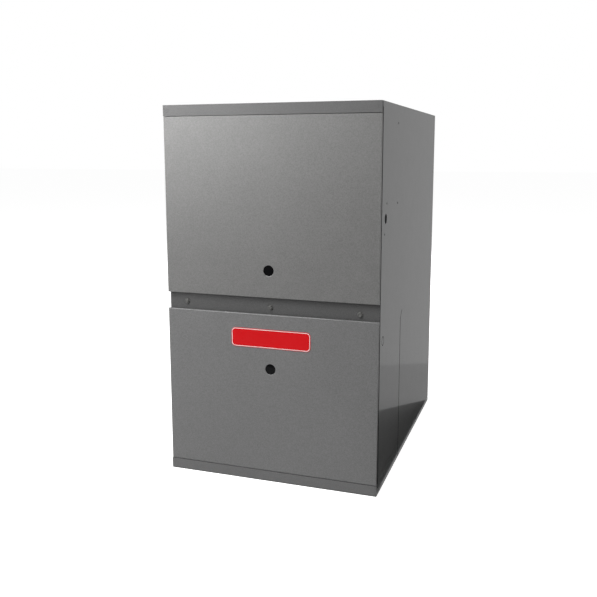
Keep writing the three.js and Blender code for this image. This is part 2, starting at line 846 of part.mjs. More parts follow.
function hexWasherScrew(shankLength) {
  const washer = bar("y", washerRadius, [-washerThickness, 0], [0, 0]);
  const head = bar("y", hexHeadRadius, [-hexHeadHeight, 0], [0, 0], 6);
  const shank = bar("y", shankRadius, [-washerThickness, shankLength], [0, 0]);
  return join(washer, head, shank);
}

function flatScrew(length) {
  return turned(
    [
      [0, 0],
      [flatHeadRadius, 0],
      [shankRadius, flatHeadHeight],
      [shankRadius, length],
      [0, length],
    ],
    coarseSides,
  );
}

function makeScrews() {
  const names = ["left", "centre", "right"];
  const reach = wrapSetback + sheet + 5 - dividerSetback;
  dividerScrewXs().forEach((x, index) => {
    const screw = place(`divider_screw_${names[index]}`, hexWasherScrew(reach), zincPlate);
    screw.position.set(x, deep(dividerSetback - seat), dividerScrewHeight(index));
  });
  [-1, 1].forEach((side) => {
    const name = side < 0 ? "rail_screw_left" : "rail_screw_right";
    const screw = place(name, flatScrew(wrapSetback + sheet + 5), zincPlate);
    screw.position.set(railScrewX(side), deep(0), topRailBottom + topRailHeight / 2);
  });
}

// ---------------------------------------------------------------------------------------------
// Doors
// ---------------------------------------------------------------------------------------------

function doorPan(bottom, top, [sightShift, sightHeight]) {
  const width = [-halfWidth, halfWidth];
  const pan = roundedPan(width, [bottom, top], doorSetback, doorPanDepth, doorEdgeRadius, sheet);
  const holeSpan = [deep(doorSetback - 1), deep(doorSetback + sheet + 1)];
  return cut(pan, bar("y", sightHoleRadius, holeSpan, [sightShift, sightHeight], fineSides));
}

// A lens that fills the sight hole from behind and is held by its rim.
function sightGlass() {
  const nose = sightHoleRadius - sightGlassClearance;
  const rim = nose + sightGlassRim;
  return turned(
    [
      [0, -sheet / 2],
      [nose, -sheet / 2],
      [nose, sheet + seat],
      [rim, sheet + seat],
      [rim, sheet + seat + sightGlassThickness],
      [0, sheet + seat + sightGlassThickness],
    ],
    fineSides,
  ).translate(0, sheet, 0);
}

function badge() {
  const shape = new THREE.Shape();
  const left = -badgeWidth / 2;
  const bottom = -badgeHeight / 2;
  const corners = [
    [-left - badgeCornerRadius, bottom + badgeCornerRadius, -Math.PI / 2],
    [-left - badgeCornerRadius, -bottom - badgeCornerRadius, 0],
    [left + badgeCornerRadius, -bottom - badgeCornerRadius, Math.PI / 2],
    [left + badgeCornerRadius, bottom + badgeCornerRadius, Math.PI],
  ];
  corners.forEach(([x, y, angle]) =>
    shape.absarc(x, y, badgeCornerRadius, angle, angle + Math.PI / 2, false),
  );
  const options = { depth: badgeThickness, bevelEnabled: false, curveSegments: 5 };
  return new THREE.ExtrudeGeometry(shape, options);
}

function makeDoors() {
  const upperSight = [0, burnerHeight];
  const lowerSight = [lowerSightShift, lowerDoorTop - lowerSightDrop];
  place("upper_door", doorPan(upperDoorBottom, upperDoorTop, upperSight), cabinetPaint);
  place("lower_door", doorPan(lowerDoorBottom, lowerDoorTop, lowerSight), cabinetPaint);
  const upperGlass = place("upper_sight_glass", sightGlass(), smokedGlass);
  upperGlass.position.set(upperSight[0], deep(doorSetback - sheet / 2), upperSight[1]);
  const lowerGlass = place("lower_sight_glass", sightGlass(), smokedGlass);
  lowerGlass.position.set(lowerSight[0], deep(doorSetback - sheet / 2), lowerSight[1]);
  const plate = facingFront(badge(), badgeThickness, doorSetback - seat - badgeThickness);
  place("badge_plate", plate, badgeRed).position.set(badgeShift, 0, lowerDoorTop - badgeDrop);
}

// ---------------------------------------------------------------------------------------------
// Heat exchanger and burners
// ---------------------------------------------------------------------------------------------

function heatExchangerTube(x) {
  const front = deep(vestibuleDepth);
  const rear = deep(tubeBackReach - tubeRadius);
  const near = deep(vestibuleBack + tubeFrontClearance + tubeRadius);
  const section = outlineShape(circlePoints(tubeRadius, tubeSides), [
    circlePoints(tubeRadius - tubeWall, tubeSides),
  ]);
  const heights = [burnerHeight];
  passRises.forEach((rise, index) => heights.push(heights[index] + rise));
  const corners = [
    [x, front, heights[0]],
    [x, rear, heights[0]],
    [x, rear, heights[1]],
    [x, near, heights[1]],
    [x, near, heights[2]],
    [x, rear, heights[2]],
    [x, rear, heights[3]],
    [x, front, heights[3]],
  ];
  return swept(section, corners, Math.min(...passRises) / 2);
}

// An inshot burner: a bell that draws in air, a throat, and a mouth that fires into the tube.
function burner() {
  const outside = [
    [burnerBellRadius, 0],
    [burnerThroatRadius, 16],
    [burnerThroatRadius, 34],
    [burnerMouthRadius - 4, burnerLength - 34],
    [burnerMouthRadius, burnerLength - 26],
    [burnerMouthRadius, burnerLength],
  ];
  const inside = outside.map(([radius, y]) => [radius - burnerWall, y]);
  return turned([inside[0], ...outside, ...inside.reverse()], coarseSides);
}

function burnerBracket() {
  const front = deep(bracketFront);
  const back = deep(vestibuleDepth - seat);
  const outer = bracketHalf + bracketThickness;
  const floorSpan = [bracketTop - bracketThickness, bracketTop];
  const wallSpan = [bracketTop - bracketThickness, bracketTop + bracketWallHeight];
  const walls = [-1, 1].map((side) => {
    const skin = ordered(side * bracketHalf, side * outer);
    return block(skin, [front, back], wallSpan);
  });
  const skirt = block(
    [-outer, outer],
    [back - bracketThickness, back],
    [bracketTop - flange, bracketTop],
  );
  const pipeSpan = [-outer - 1, outer + 1];
  const pipeAxis = [deep(manifoldDepth), burnerHeight];
  const pipeHole = bar("x", manifoldRadius + seat, pipeSpan, pipeAxis, mediumSides);
  return cut(join(block([-outer, outer], [front, back], floorSpan), ...walls, skirt), pipeHole);
}

function gasManifold() {
  const reach = bracketHalf + bracketThickness + manifoldOverhang;
  const pipe = bar("x", manifoldRadius, [-reach, reach], [deep(manifoldDepth), burnerHeight], mediumSides);
  const riserSpan = [burnerHeight, burnerHeight + riserHeight];
  const riser = bar("z", manifoldRadius, riserSpan, [valveShift, deep(manifoldDepth)], mediumSides);
  const tip = deep(burnerFront - orificeGap);
  const orifices = burnerXs.map((x) =>
    bar("y", orificeRadius, [deep(manifoldDepth), tip], [x, burnerHeight], 6),
  );
  return join(pipe, riser, ...orifices);
}

function gasValve() {
  const bottom = burnerHeight + riserHeight + seat;
  const middle = deep(manifoldDepth);
  const x = [valveShift - valveWidth / 2, valveShift + valveWidth / 2];
  const y = [middle - valveDepth / 2, middle + valveDepth / 2];
  const lower = block(x, y, [bottom, bottom + valveHeight / 2]);
  const cap = block(
    [x[0] + 8, x[1] - 8],
    [y[0], y[1] - 14],
    [bottom + valveHeight / 2, bottom + valveHeight],
  );
  const portHeight = bottom + valvePortRadius + 2;
  const portSpan = [x[0] - valvePortLength, x[0] + 1];
  const port = bar("x", valvePortRadius, portSpan, [middle, portHeight], mediumSides);
  const boreSpan = [x[0] - valvePortLength - 1, x[0] + 8];
  const bore = bar("x", valvePortBore, boreSpan, [middle, portHeight], mediumSides);
  const stem = knobPlace();
  const stemHole = bar(
    "y",
    knobStemRadius + shaftClearance,
    [y[0] - 1, y[0] + knobStemDepth + seat],
    [stem[0], stem[2]],
    mediumSides,
  );
  return cut(join(lower, cap, port), bore, stemHole);
}

function knobPlace() {
  const height = burnerHeight + riserHeight + seat + valveHeight - 22;
  return [valveShift, deep(manifoldDepth) - valveDepth / 2, height];
}

// A knob with a finger bar, on a short stem that turns in the valve body.
function valveKnob() {
  const face = -seat - knobHeight;
  const disc = bar("y", knobRadius, [face / 2 - seat, -seat], [0, 0], mediumSides);
  const grip = block([-3.5, 3.5], [face, -seat], [-knobRadius + 1, knobRadius - 1]);
  const stem = bar("y", knobStemRadius, [-seat, knobStemDepth], [0, 0], mediumSides);
  return join(disc, grip, stem);
}

function hotSurfaceIgniter() {
  const bottom = bracketTop + seat;
  const x = (burnerXs[tubeCount - 2] + burnerXs[tubeCount - 1]) / 2;
  const back = deep(burnerBack - 6);
  const holder = block([x - 11, x + 11], [back - 22, back], [bottom, bottom + 14]);
  const stalk = block([x - 6, x + 6], [back - 14, back - 4], [bottom + 13, bottom + 13 + igniterHeight / 2]);
  const blade = block([x - 8, x + 8], [back - 10, back - 7], [bottom + 22, bottom + 13 + igniterHeight]);
  return join(holder, stalk, blade);
}

function flameSensor() {
  const bottom = bracketTop + seat;
  const x = (burnerXs[0] + burnerXs[1]) / 2;
  const y = deep(burnerBack - 16);
  const holder = block([x - 7, x + 7], [y - 8, y + 8], [bottom, bottom + 12]);
  const insulator = bar("z", 4, [bottom + 11, bottom + 26], [x, y]);
  const rod = bar("z", sensorRodRadius, [bottom + 25, bottom + 46], [x, y], 8);
  return join(holder, insulator, rod);
}

// A round snap-disc switch on a plate with two ears, seated on the vestibule panel.
function discSwitch(x, height, extra = []) {
  const back = deep(vestibuleDepth - seat);
  const plate = block(
    [x - switchPlateWidth / 2, x + switchPlateWidth / 2],
    [back - 1.5, back],
    [height - switchPlateHeight / 2, height + switchPlateHeight / 2],
  );
  const disc = bar("y", switchDiscRadius, [back - switchDiscHeight, back], [x, height], mediumSides);
  return join(plate, disc, ...extra);
}

function rolloutSwitch() {
  const back = deep(vestibuleDepth - seat);
  const recess = [back - switchDiscHeight - 1, back - switchDiscHeight / 2];
  const hole = bar("y", resetRadius + seat, recess, [rolloutShift, rolloutHeight]);
  return cut(discSwitch(rolloutShift, rolloutHeight), hole);
}

function rolloutReset() {
  const back = deep(vestibuleDepth - seat);
  const span = [back - switchDiscHeight - resetReach, back - switchDiscHeight / 2 - seat];
  return bar("y", resetRadius, span, [rolloutShift, rolloutHeight]);
}

function highLimitSwitch() {
  const back = deep(vestibuleDepth - seat);
  const probe = bar("y", limitProbeRadius, [back - 2, back + limitProbeLength], [0, limitHeight]);
  const terminalReach = [back - switchDiscHeight - 8, back - 2];
  const terminals = [-1, 1].map((side) =>
    block([side * 5 - 1.5, side * 5 + 1.5], terminalReach, [limitHeight - 3, limitHeight + 3]),
  );
  return discSwitch(0, limitHeight, [probe, ...terminals]);
}

function makeHeatSection() {
  burnerXs.forEach((x, index) => {
    place(`heat_exchanger_tube_${index + 1}`, heatExchangerTube(x), aluminisedSteel);
    place(`burner_${index + 1}`, burner(), aluminisedSteel).position.set(x, deep(burnerFront), burnerHeight);
  });
  place("burner_bracket", burnerBracket(), galvanised);
  place("gas_manifold", gasManifold(), blackPaint);
  place("gas_valve_body", gasValve(), castAluminium);
  place("gas_valve_knob", valveKnob(), darkPlastic).position.set(...knobPlace());
  place("hot_surface_igniter", hotSurfaceIgniter(), ceramic);
  place("flame_sensor", flameSensor(), ceramic);
  place("rollout_switch", rolloutSwitch(), darkPlastic);
  place("rollout_reset_button", rolloutReset(), resetRed);
  place("high_limit_switch", highLimitSwitch(), zincPlate);
}

// ---------------------------------------------------------------------------------------------
// Induced draft blower
// ---------------------------------------------------------------------------------------------

function collectorBox() {
  const half = -frontBurnerX + collectorMargin;
  const z = [collectorBottom, collectorBottom + collectorHeight];
  const y = [deep(collectorFront), deep(collectorFront + collectorDepth)];
  const inner = block(
    [-half + bracketThickness, half - bracketThickness],
    [y[0] + bracketThickness, y[1] + 1],
    [z[0] + bracketThickness, z[1] - bracketThickness],
  );
  const inlet = bar("y", inducerInletRadius, [y[0] - 1, y[0] + 3], [inducerX, inducerHeight], fineSides);
  return cut(block([-half, half], y, z), inner, inlet);
}

function inducerHousing() {
  const start = inducerWheelRadius + inducerTipGap;
  const neckTop = start + inducerGrowth + 8;
  const outer = outlineShape(scrollPoints(start, inducerGrowth, neckTop));
  const hollow = scrollPoints(start, inducerGrowth, neckTop + 1, inducerWall);
  const bodySolid = facingFront(slab(outer, inducerDepth), inducerDepth, inducerFront);
  const hollowDepth = inducerDepth - 2 * inducerWall;
  const hollowSlab = slab(outlineShape(hollow), hollowDepth);
  const cavity = facingFront(hollowSlab, hollowDepth, inducerFront + inducerWall);
  const inletSpan = [deep(inducerBack - inducerWall - 1), deep(inducerBack + 1)];
  const inlet = bar("y", inducerInletRadius, inletSpan, [0, 0], fineSides);
  const shaftHole = bar(
    "y",
    inducerShaftRadius + shaftClearance,
    [deep(inducerFront - 1), deep(inducerFront + inducerWall + 1)],
    [0, 0],
  );
  return cut(bodySolid, cavity, inlet, shaftHole).translate(inducerX, 0, inducerHeight);
}

// A paddle wheel on its shaft, which runs forward through the housing to the motor.
function inducerWheel() {
  const back = deep(inducerBack - inducerWall - 6);
  const front = back - inducerWheelWidth;
  const disc = bar("y", inducerWheelRadius, [front, front + 2], [0, 0], mediumSides);
  const hub = bar("y", inducerShaftRadius * 2.5, [front, front + 16], [0, 0], coarseSides);
  const shaft = bar("y", inducerShaftRadius, [deep(inducerFront - coolingFanGap - 8), front + 12], [0, 0]);
  const paddles = Array.from({ length: 12 }, (_, index) => {
    const paddle = block([-1, 1], [front + 1, back], [inducerWheelRadius - 24, inducerWheelRadius - 1]);
    return paddle.rotateY((index / 12) * 2 * Math.PI);
  });
  return join(disc, hub, shaft, ...paddles).translate(inducerX, 0, inducerHeight);
}

function coolingFan() {
  const y = [deep(inducerFront - coolingFanGap + 1), deep(inducerFront - coolingFanGap + 9)];
  const hub = bar("y", inducerShaftRadius * 2, y, [0, 0], coarseSides);
  const blades = Array.from({ length: 6 }, (_, index) => {
    const blade = block([-9, 9], [-0.8, 0.8], [inducerShaftRadius * 1.4, coolingFanRadius]);
    blade.rotateZ(0.35).translate(0, (y[0] + y[1]) / 2, 0);
    return blade.rotateY((index / 6) * 2 * Math.PI);
  });
  const bore = bar("y", inducerShaftRadius + seat, [y[0] - 1, y[1] + 1], [0, 0]);
  return cut(join(hub, ...blades), bore).translate(inducerX, 0, inducerHeight);
}

function inducerMotor() {
  const back = inducerFront - coolingFanGap;
  const y = [deep(back - inducerMotorLength), deep(back)];
  const can = turned(
    [
      [0, y[0]],
      [inducerMotorRadius - 8, y[0]],
      [inducerMotorRadius, y[0] + 8],
      [inducerMotorRadius, y[1] - 6],
      [inducerMotorRadius - 8, y[1]],
      [0, y[1]],
    ],
    mediumSides,
  );
  const shaftBore = bar("y", inducerShaftRadius + shaftClearance, [y[1] - 10, y[1] + 1], [0, 0]);
  const legs = Array.from({ length: 3 }, (_, index) => {
    const foot = [deep(back - 8), deep(inducerFront - seat)];
    const leg = block([-4, 4], foot, [inducerMotorRadius - 4, inducerMotorRadius + 3]);
    return leg.rotateY((index / 3) * 2 * Math.PI);
  });
  return cut(join(can, ...legs), shaftBore).translate(inducerX, 0, inducerHeight);
}

// A square base on the housing's outlet that carries the round vent collar.
function flueCollar() {
  const [x, y] = flueAxis();
  const bottom = inducerHeight + inducerWheelRadius + inducerTipGap + inducerGrowth + 8 + seat;
  const top = cabinetHeight - flueTopDrop;
  const plate = block([x - flueRadius - 4, x + flueRadius + 4], [y - 30, y + 30], [bottom, bottom + 3]);
  const collar = bar("z", flueRadius, [bottom, top], [x, y], fineSides);
  const bore = bar("z", flueRadius - flueWall, [bottom - 1, top + 1], [x, y], fineSides);
  return cut(join(plate, collar), bore);
}

function pressureSwitch() {
  const back = deep(vestibuleDepth - seat);
  const plateFront = deep(pressurePlateDepth);
  const discFront = plateFront - pressureSwitchThickness;
  const half = [-pressurePlateHalf, pressurePlateHalf];
  const rise = pressureSwitchRadius - pressurePlateThickness;
  const shelfTop = pressurePlateThickness - rise;
  const bracket = join(
    block(half, [plateFront, plateFront + pressurePlateThickness], [-rise, rise]),
    block(half, [plateFront, back], [-rise, shelfTop]),
    block(half, [back - pressurePlateThickness, back], [shelfTop - pressureFootHeight, shelfTop]),
  );
  const disc = bar("y", pressureSwitchRadius, [discFront, plateFront], [0, 0], mediumSides);
  const portSpan = [discFront - pressurePortLength, discFront + sheet];
  const port = bar("y", hoseRadius - hoseWall, portSpan, [pressurePortShift, 0], 8);
  return join(bracket, disc, port).translate(pressureSwitchShift, 0, pressureSwitchHeight);
}

// The hose leaves the pressure switch, rises and ends at the collector box's top edge.
function pressureHose() {
  const section = outlineShape(circlePoints(hoseRadius, 8));
  const x = pressureSwitchShift + pressurePortShift;
  const portEnd = deep(pressurePlateDepth) - pressureSwitchThickness - pressurePortLength - seat;
  const away = portEnd - hoseBendRadius - hoseRadius;
  const tapX = inducerX - hoseTapShift;
  const corners = [
    [x, portEnd, pressureSwitchHeight],
    [x, away, pressureSwitchHeight],
    [x, away, exhaustHeight],
    [tapX, away, exhaustHeight],
    [tapX, deep(collectorFront - seat), exhaustHeight],
  ];
  return swept(section, corners, hoseBendRadius);
}

function makeInducer() {
  place("collector_box", collectorBox(), aluminisedSteel);
  place("inducer_housing", inducerHousing(), blackPaint);
  place("inducer_wheel", inducerWheel(), galvanised);
  place("inducer_cooling_fan", coolingFan(), darkPlastic);
  place("inducer_motor", inducerMotor(), zincPlate);
  place("flue_collar", flueCollar(), galvanised);
  place("pressure_switch", pressureSwitch(), darkPlastic);
  place("pressure_hose", pressureHose(), blackRubber);
}

// ---------------------------------------------------------------------------------------------
// Circulating blower
// ---------------------------------------------------------------------------------------------

// Shapes of the blower are made about its axis and then moved to where that axis lies.
function ontoBlowerAxis(geometry) {
  return geometry.translate(0, deep(blowerAxisDepth), blowerAxisHeight);
}

function blowerHousing() {
  const topAt = blowerTop - blowerAxisHeight;
  const outer = facingSide(
    slab(outlineShape(scrollPoints(blowerStart, blowerGrowth, topAt)), 2 * blowerHalf),
    -blowerHalf,
  );
  const points = scrollPoints(blowerStart, blowerGrowth, topAt + 1, blowerWall);
  const cavityHalf = blowerHalf - blowerWall;
  const cavity = facingSide(slab(outlineShape(points), 2 * cavityHalf), -cavityHalf);
  const inlets = bar("x", blowerInletRadius, [-blowerHalf - 1, blowerHalf + 1], [0, 0], fineSides);
  const outletSpan = [points[0].x, points[points.length - 2].x];
  const lips = [-1, 1].map((side) => {
    const reach = ordered(side * (blowerHalf - blowerWall), side * (blowerHalf + blowerLip));
    return block(reach, outletSpan, [topAt - 2, topAt]);
  });
  return ontoBlowerAxis(cut(join(cut(outer, cavity), ...lips), inlets));
}

// A double inlet wheel: two rims and a centre disc carry the forward-curved blades.
function blowerWheel() {
  const half = blowerWheelWidth / 2;
  const innerRadius = blowerWheelRadius - bladeDepth;
  const rimShape = outlineShape(circlePoints(blowerWheelRadius, fineSides), [
    circlePoints(innerRadius, fineSides),
  ]);
  const rims = [-half, half - wheelRim].map((x) => facingSide(slab(rimShape, wheelRim), x));
  const disc = bar("x", blowerWheelRadius - 1, [hubShift, hubShift + 2], [0, 0], fineSides);
  const hub = bar("x", hubRadius, [hubShift - hubLength / 2, hubShift + hubLength / 2], [0, 0], mediumSides);
  const blades = Array.from({ length: bladeCount }, (_, index) => {
    const blade = new THREE.BoxGeometry(2 * half - wheelRim, bladeThickness, bladeDepth - 3);
    blade.rotateX(0.5).translate(0, 0, blowerWheelRadius - bladeDepth / 2);
    return blade.rotateX((index / bladeCount) * 2 * Math.PI);
  });
  const boreSpan = [hubShift - hubLength, hubShift + hubLength];
  const bore = bar("x", shaftRadius + seat, boreSpan, [0, 0], coarseSides);
  return ontoBlowerAxis(cut(join(...rims, disc, hub, ...blades), bore));
}

function blowerMotorSpan() {
  const outerEnd = -blowerHalf - motorProud;
  return [outerEnd, outerEnd + motorLength];
}

function blowerShaft() {
  const [, motorEnd] = blowerMotorSpan();
  const span = [motorEnd - motorNose + seat, hubShift + hubLength / 2 + 6];
  return ontoBlowerAxis(bar("x", shaftRadius, span, [0, 0], coarseSides));
}

function blowerMotor() {
  const [outerEnd, innerEnd] = blowerMotorSpan();
  const profile = [
    [0, outerEnd],
    [motorRadius - 16, outerEnd],
    [motorRadius - 4, outerEnd + 8],
    [motorRadius, outerEnd + 16],
    [motorRadius, innerEnd - 16],
    [motorRadius - 4, innerEnd - 8],
    [motorRadius - 16, innerEnd],
    [0, innerEnd],
  ];
  const body = turned(profile, mediumSides);
  alongAxis(body, "x");
  const boreSpan = [innerEnd - motorNose, innerEnd + 1];
  const bore = bar("x", shaftRadius + shaftClearance, boreSpan, [0, 0], mediumSides);
  return ontoBlowerAxis(cut(body, bore));
}

// A band round the motor with arms that bolt to the rim of the housing's inlet.
function blowerMotorMount() {
  const inner = motorRadius + seat;
  const outer = inner + bandThickness;
  const bandShape = outlineShape(circlePoints(outer, mediumSides), [circlePoints(inner, mediumSides)]);
  const side = -blowerHalf - seat;
  const band = facingSide(slab(bandShape, bandWidth), side - bandWidth);
  const reach = blowerInletRadius + 12;
  const arms = Array.from({ length: motorArmCount }, (_, index) => {
    const web = block([side - bandWidth, side - bandWidth + 3], [-9, 9], [outer - 1.5, reach]);
    const drop = block([side - bandWidth, side], [-9, 9], [reach - 3, reach]);
    const foot = block([side - 3, side], [-9, 9], [reach - 3, reach + 12]);
    return join(web, drop, foot).rotateX((index / motorArmCount) * 2 * Math.PI);
  });
  return ontoBlowerAxis(join(band, ...arms));
}

function makeBlower() {
  place("blower_housing", blowerHousing(), galvanised);
  place("blower_wheel", blowerWheel(), galvanised);
  place("blower_shaft", blowerShaft(), zincPlate);
  place("blower_motor", blowerMotor(), blackPaint);
  place("blower_motor_mount", blowerMotorMount(), galvanised);
}

// ---------------------------------------------------------------------------------------------
// Controls
// ---------------------------------------------------------------------------------------------

// A plate hung from the deck, with a strap that holds the run capacitor upright.
function controlBracket() {
  const top = deckUnder - seat;
  const bottom = top - controlPlateHeight;
  const half = controlPlateWidth / 2;
  const front = deep(controlPlateDepth);
  const plate = block([-half, half], [front, front + sheet], [bottom, top]);
  const foot = block([-half, half], [front, front + controlFoot], [top - sheet, top]);
  const rims = [-1, 1].map((side) => {
    const span = ordered(side * half, side * (half - sheet));
    return block(span, [front, front + controlFoot], [bottom, top]);
  });
  const strapOuter = capacitorRadius + seat + 1.5;
  const strapShape = outlineShape(circlePoints(strapOuter, mediumSides), [
    circlePoints(capacitorRadius + seat, mediumSides),
  ]);
  const strapPlace = [capacitorShift, front - strapOuter + sheet, capacitorBottom() + 26];
  const strap = slab(strapShape, 16).translate(...strapPlace);
  const standoffs = [-1, 1].flatMap((side) =>
    [-1, 1].map((rise) =>
      bar("y", 3, [front - boardStandoff, front + 0.5], [
        boardShift + side * (boardWidth / 2 - 8),
        boardMiddleHeight + rise * (boardHeight / 2 - 8),
      ]),
    ),
  );
  return join(plate, foot, ...rims, strap, ...standoffs);
}

function capacitorBottom() {
  return boardMiddleHeight + boardHeight / 2 - 28;
}

function runCapacitor() {
  const y = deep(controlPlateDepth) - capacitorRadius - seat - 0.5;
  const bottom = capacitorBottom();
  const can = bar("z", capacitorRadius, [bottom, bottom + capacitorLength], [0, 0], mediumSides);
  const bladeSpan = [bottom + capacitorLength - 1, bottom + capacitorLength + 9];
  const blades = [-1, 1].map((side) => block([side * 8 - 1, side * 8 + 1], [-3.5, 3.5], bladeSpan));
  return join(can, ...blades).translate(capacitorShift, y, 0);
}

// Relays, connectors, chip and fuse of the board. Place as a share of the board's half size, then
// width and height as shares of its full size and depth as a share of the tallest relay.
const boardComponents = [
  [-0.59, 0.47, 0.146, 0.196, 1],
  [-0.295, 0.47, 0.146, 0.196, 1],
  [0.016, 0.5, 0.124, 0.161, 0.8],
  [0.37, 0.53, 0.258, 0.107, 0.55],
  [-0.56, -0.04, 0.101, 0.161, 0.75],
  [-0.164, -0.1, 0.135, 0.214, 0.25],
  [0.246, 0, 0.067, 0.196, 0.45],
  [0.59, -0.086, 0.09, 0.268, 0.6],
  [-0.37, -0.617, 0.348, 0.107, 0.65],
  [0.41, -0.617, 0.303, 0.116, 0.75],
];

function controlBoard() {
  const back = deep(controlPlateDepth) - boardStandoff - seat;
  const front = back - boardThickness;
  const x = boardWidth / 2;
  const z = boardHeight / 2;
  const board = block([-x, x], [front, back], [-z, z]);
  const components = boardComponents.map(([placeX, placeZ, width, height, depth]) => {
    const span = [(placeX - width) * x, (placeX + width) * x];
    const rise = [(placeZ - height) * z, (placeZ + height) * z];
    return block(span, [front - depth * relayHeight, front + boardThickness / 2], rise);
  });
  return join(board, ...components).translate(boardShift, 0, boardMiddleHeight);
}

function transformer() {
  const back = deep(controlPlateDepth) - seat;
  const z = boardMiddleHeight - boardHeight / 2 + 4;
  const half = transformerWidth / 2;
  const core = block([-half + 8, half - 8], [back - transformerDepth, back], [z, z + transformerHeight]);
  const winding = block(
    [-half + 2, half - 2],
    [back - transformerDepth + 9, back - 9],
    [z + 8, z + transformerHeight - 8],
  );
  const feet = block([-half - 6, half + 6], [back - 2, back], [z + 10, z + transformerHeight - 10]);
  return join(core, winding, feet).translate(transformerShift, 0, 0);
}

function doorSwitch() {
  const front = deep(doorSwitchFront);
  const z = doorSwitchHeightAt;
  const halfX = doorSwitchWidth / 2;
  const body = block(
    [-halfX, halfX],
    [front, front + doorSwitchDepth],
    [z - doorSwitchHeight / 2, z + doorSwitchHeight / 2],
  );
  const hanger = block([-halfX, halfX], [front + 8, front + 10], [z, deckUnder - seat]);
  const foot = block([-halfX, halfX], [front + 8, front + 26], [deckUnder - seat - 2, deckUnder - seat]);
  const bore = bar("y", plungerRadius + seat, [front - 1, front + plungerTravel + 6], [0, z]);
  return cut(join(body, hanger, foot), bore).translate(doorSwitchShift, 0, 0);
}

function doorSwitchPlunger() {
  const span = [deep(plungerTip), deep(doorSwitchFront) + 1.5];
  return bar("y", plungerRadius, span, [doorSwitchShift, doorSwitchHeightAt]);
}

function junctionBox() {
  const outerX = innerFace - seat;
  const x = [outerX - junctionBoxReach, outerX];
  const middle = deep(electricalHoleDepth + 6);
  const y = [middle - junctionBoxDepth / 2, middle + junctionBoxDepth / 2];
  const z = [electricalHoleHeight - junctionBoxHeight / 2, electricalHoleHeight + junctionBoxHeight / 2];
  const inner = block(
    [x[0] + bracketThickness, x[1] - bracketThickness],
    [y[0] - 1, y[1] - bracketThickness],
    [z[0] + bracketThickness, z[1] - bracketThickness],
  );
  const holeSpan = [x[1] - 2, x[1] + 1];
  const holeAxis = [deep(electricalHoleDepth), electricalHoleHeight];
  const entry = bar("x", electricalHoleRadius, holeSpan, holeAxis, mediumSides);
  return cut(block(x, y, z), inner, entry);
}

// The main harness climbs from the control board through the deck to the inducer motor.
function wiringHarness() {
  const y = deep(harnessDepth);
  const boardEdge = boardShift + boardWidth / 2 + seat;
  const motorMiddle = deep(inducerFront - coolingFanGap - inducerMotorLength / 2);
  const corners = [
    [boardEdge, y, boardMiddleHeight],
    [harnessShift, y, boardMiddleHeight],
    [harnessShift, y, exhaustHeight],
    [harnessShift, motorMiddle, exhaustHeight],
    [inducerX + inducerMotorRadius + seat, motorMiddle, exhaustHeight],
  ];
  return swept(outlineShape(circlePoints(harnessRadius - seat, 8)), corners, 2 * harnessRadius);
}

// A snap-in ring that keeps the harness off the edge of the deck.
function harnessGrommet() {
  const inner = harnessRadius;
  const neck = harnessRadius + grommetWall - seat;
  const lip = neck + 3;
  const profile = [
    [inner, -sheet - seat - 3],
    [lip, -sheet - seat - 3],
    [lip, -sheet - seat],
    [neck, -sheet - seat],
    [neck, seat],
    [lip, seat],
    [lip, seat + 3],
    [inner, seat + 3],
    [inner, -sheet - seat - 3],
  ];
  return turned(profile, mediumSides).rotateX(Math.PI / 2);
}

function makeControls() {
  place("control_bracket", controlBracket(), galvanised);
  place("control_board", controlBoard(), circuitBoard);
  place("run_capacitor", runCapacitor(), zincPlate);
  place("transformer", transformer(), blackPaint);
  place("door_switch", doorSwitch(), darkPlastic);
  place("door_switch_plunger", doorSwitchPlunger(), resetRed);
  place("junction_box", junctionBox(), galvanised);
  place("wiring_harness", wiringHarness(), blackRubber);
  const grommet = place("harness_grommet", harnessGrommet(), blackRubber);
  grommet.position.set(harnessShift, deep(harnessDepth), deckTop);
}

// ---------------------------------------------------------------------------------------------

makeCabinet();
makeScrews();
makeDoors();
makeHeatSection();
makeInducer();
makeBlower();
makeControls();

export default furnace;
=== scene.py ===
"""A forced air gas furnace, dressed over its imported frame. Metres, +Z up, doors towards -Y."""
import math

import bmesh
import bpy
from mathutils import Euler, Matrix, Vector


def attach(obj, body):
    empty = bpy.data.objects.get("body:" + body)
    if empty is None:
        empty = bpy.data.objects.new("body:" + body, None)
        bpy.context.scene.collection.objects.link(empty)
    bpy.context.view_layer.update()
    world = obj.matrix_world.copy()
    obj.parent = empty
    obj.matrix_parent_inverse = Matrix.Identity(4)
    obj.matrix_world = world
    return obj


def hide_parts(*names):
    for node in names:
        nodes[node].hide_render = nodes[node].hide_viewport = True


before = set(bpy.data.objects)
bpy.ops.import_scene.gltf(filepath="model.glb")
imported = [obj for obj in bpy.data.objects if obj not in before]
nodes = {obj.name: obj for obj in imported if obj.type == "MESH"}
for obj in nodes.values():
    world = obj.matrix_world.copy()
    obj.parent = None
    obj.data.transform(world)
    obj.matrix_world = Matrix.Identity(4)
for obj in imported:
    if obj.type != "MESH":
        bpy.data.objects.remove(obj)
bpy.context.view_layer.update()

# ---- Places that the pieces take from the frame ----

MM = 0.001


class Box:
    """Where a CAD node lies at rest: its low and high corners and its middle."""

    def __init__(self, node):
        spots = [v.co for v in nodes[node].data.vertices]
        self.low = Vector([min(spot[k] for spot in spots) for k in range(3)])
        self.high = Vector([max(spot[k] for spot in spots) for k in range(3)])
        self.middle = (self.low + self.high) / 2


HALF = Box("right_side_panel").high.x  # half of the cabinet's width
FRONT = Box("top_front_rail").low.y  # the face of the front rails


def back(depth):
    """Y of a depth in millimetres behind the face of the front rails."""
    return FRONT + depth * MM


# ---- Materials ----


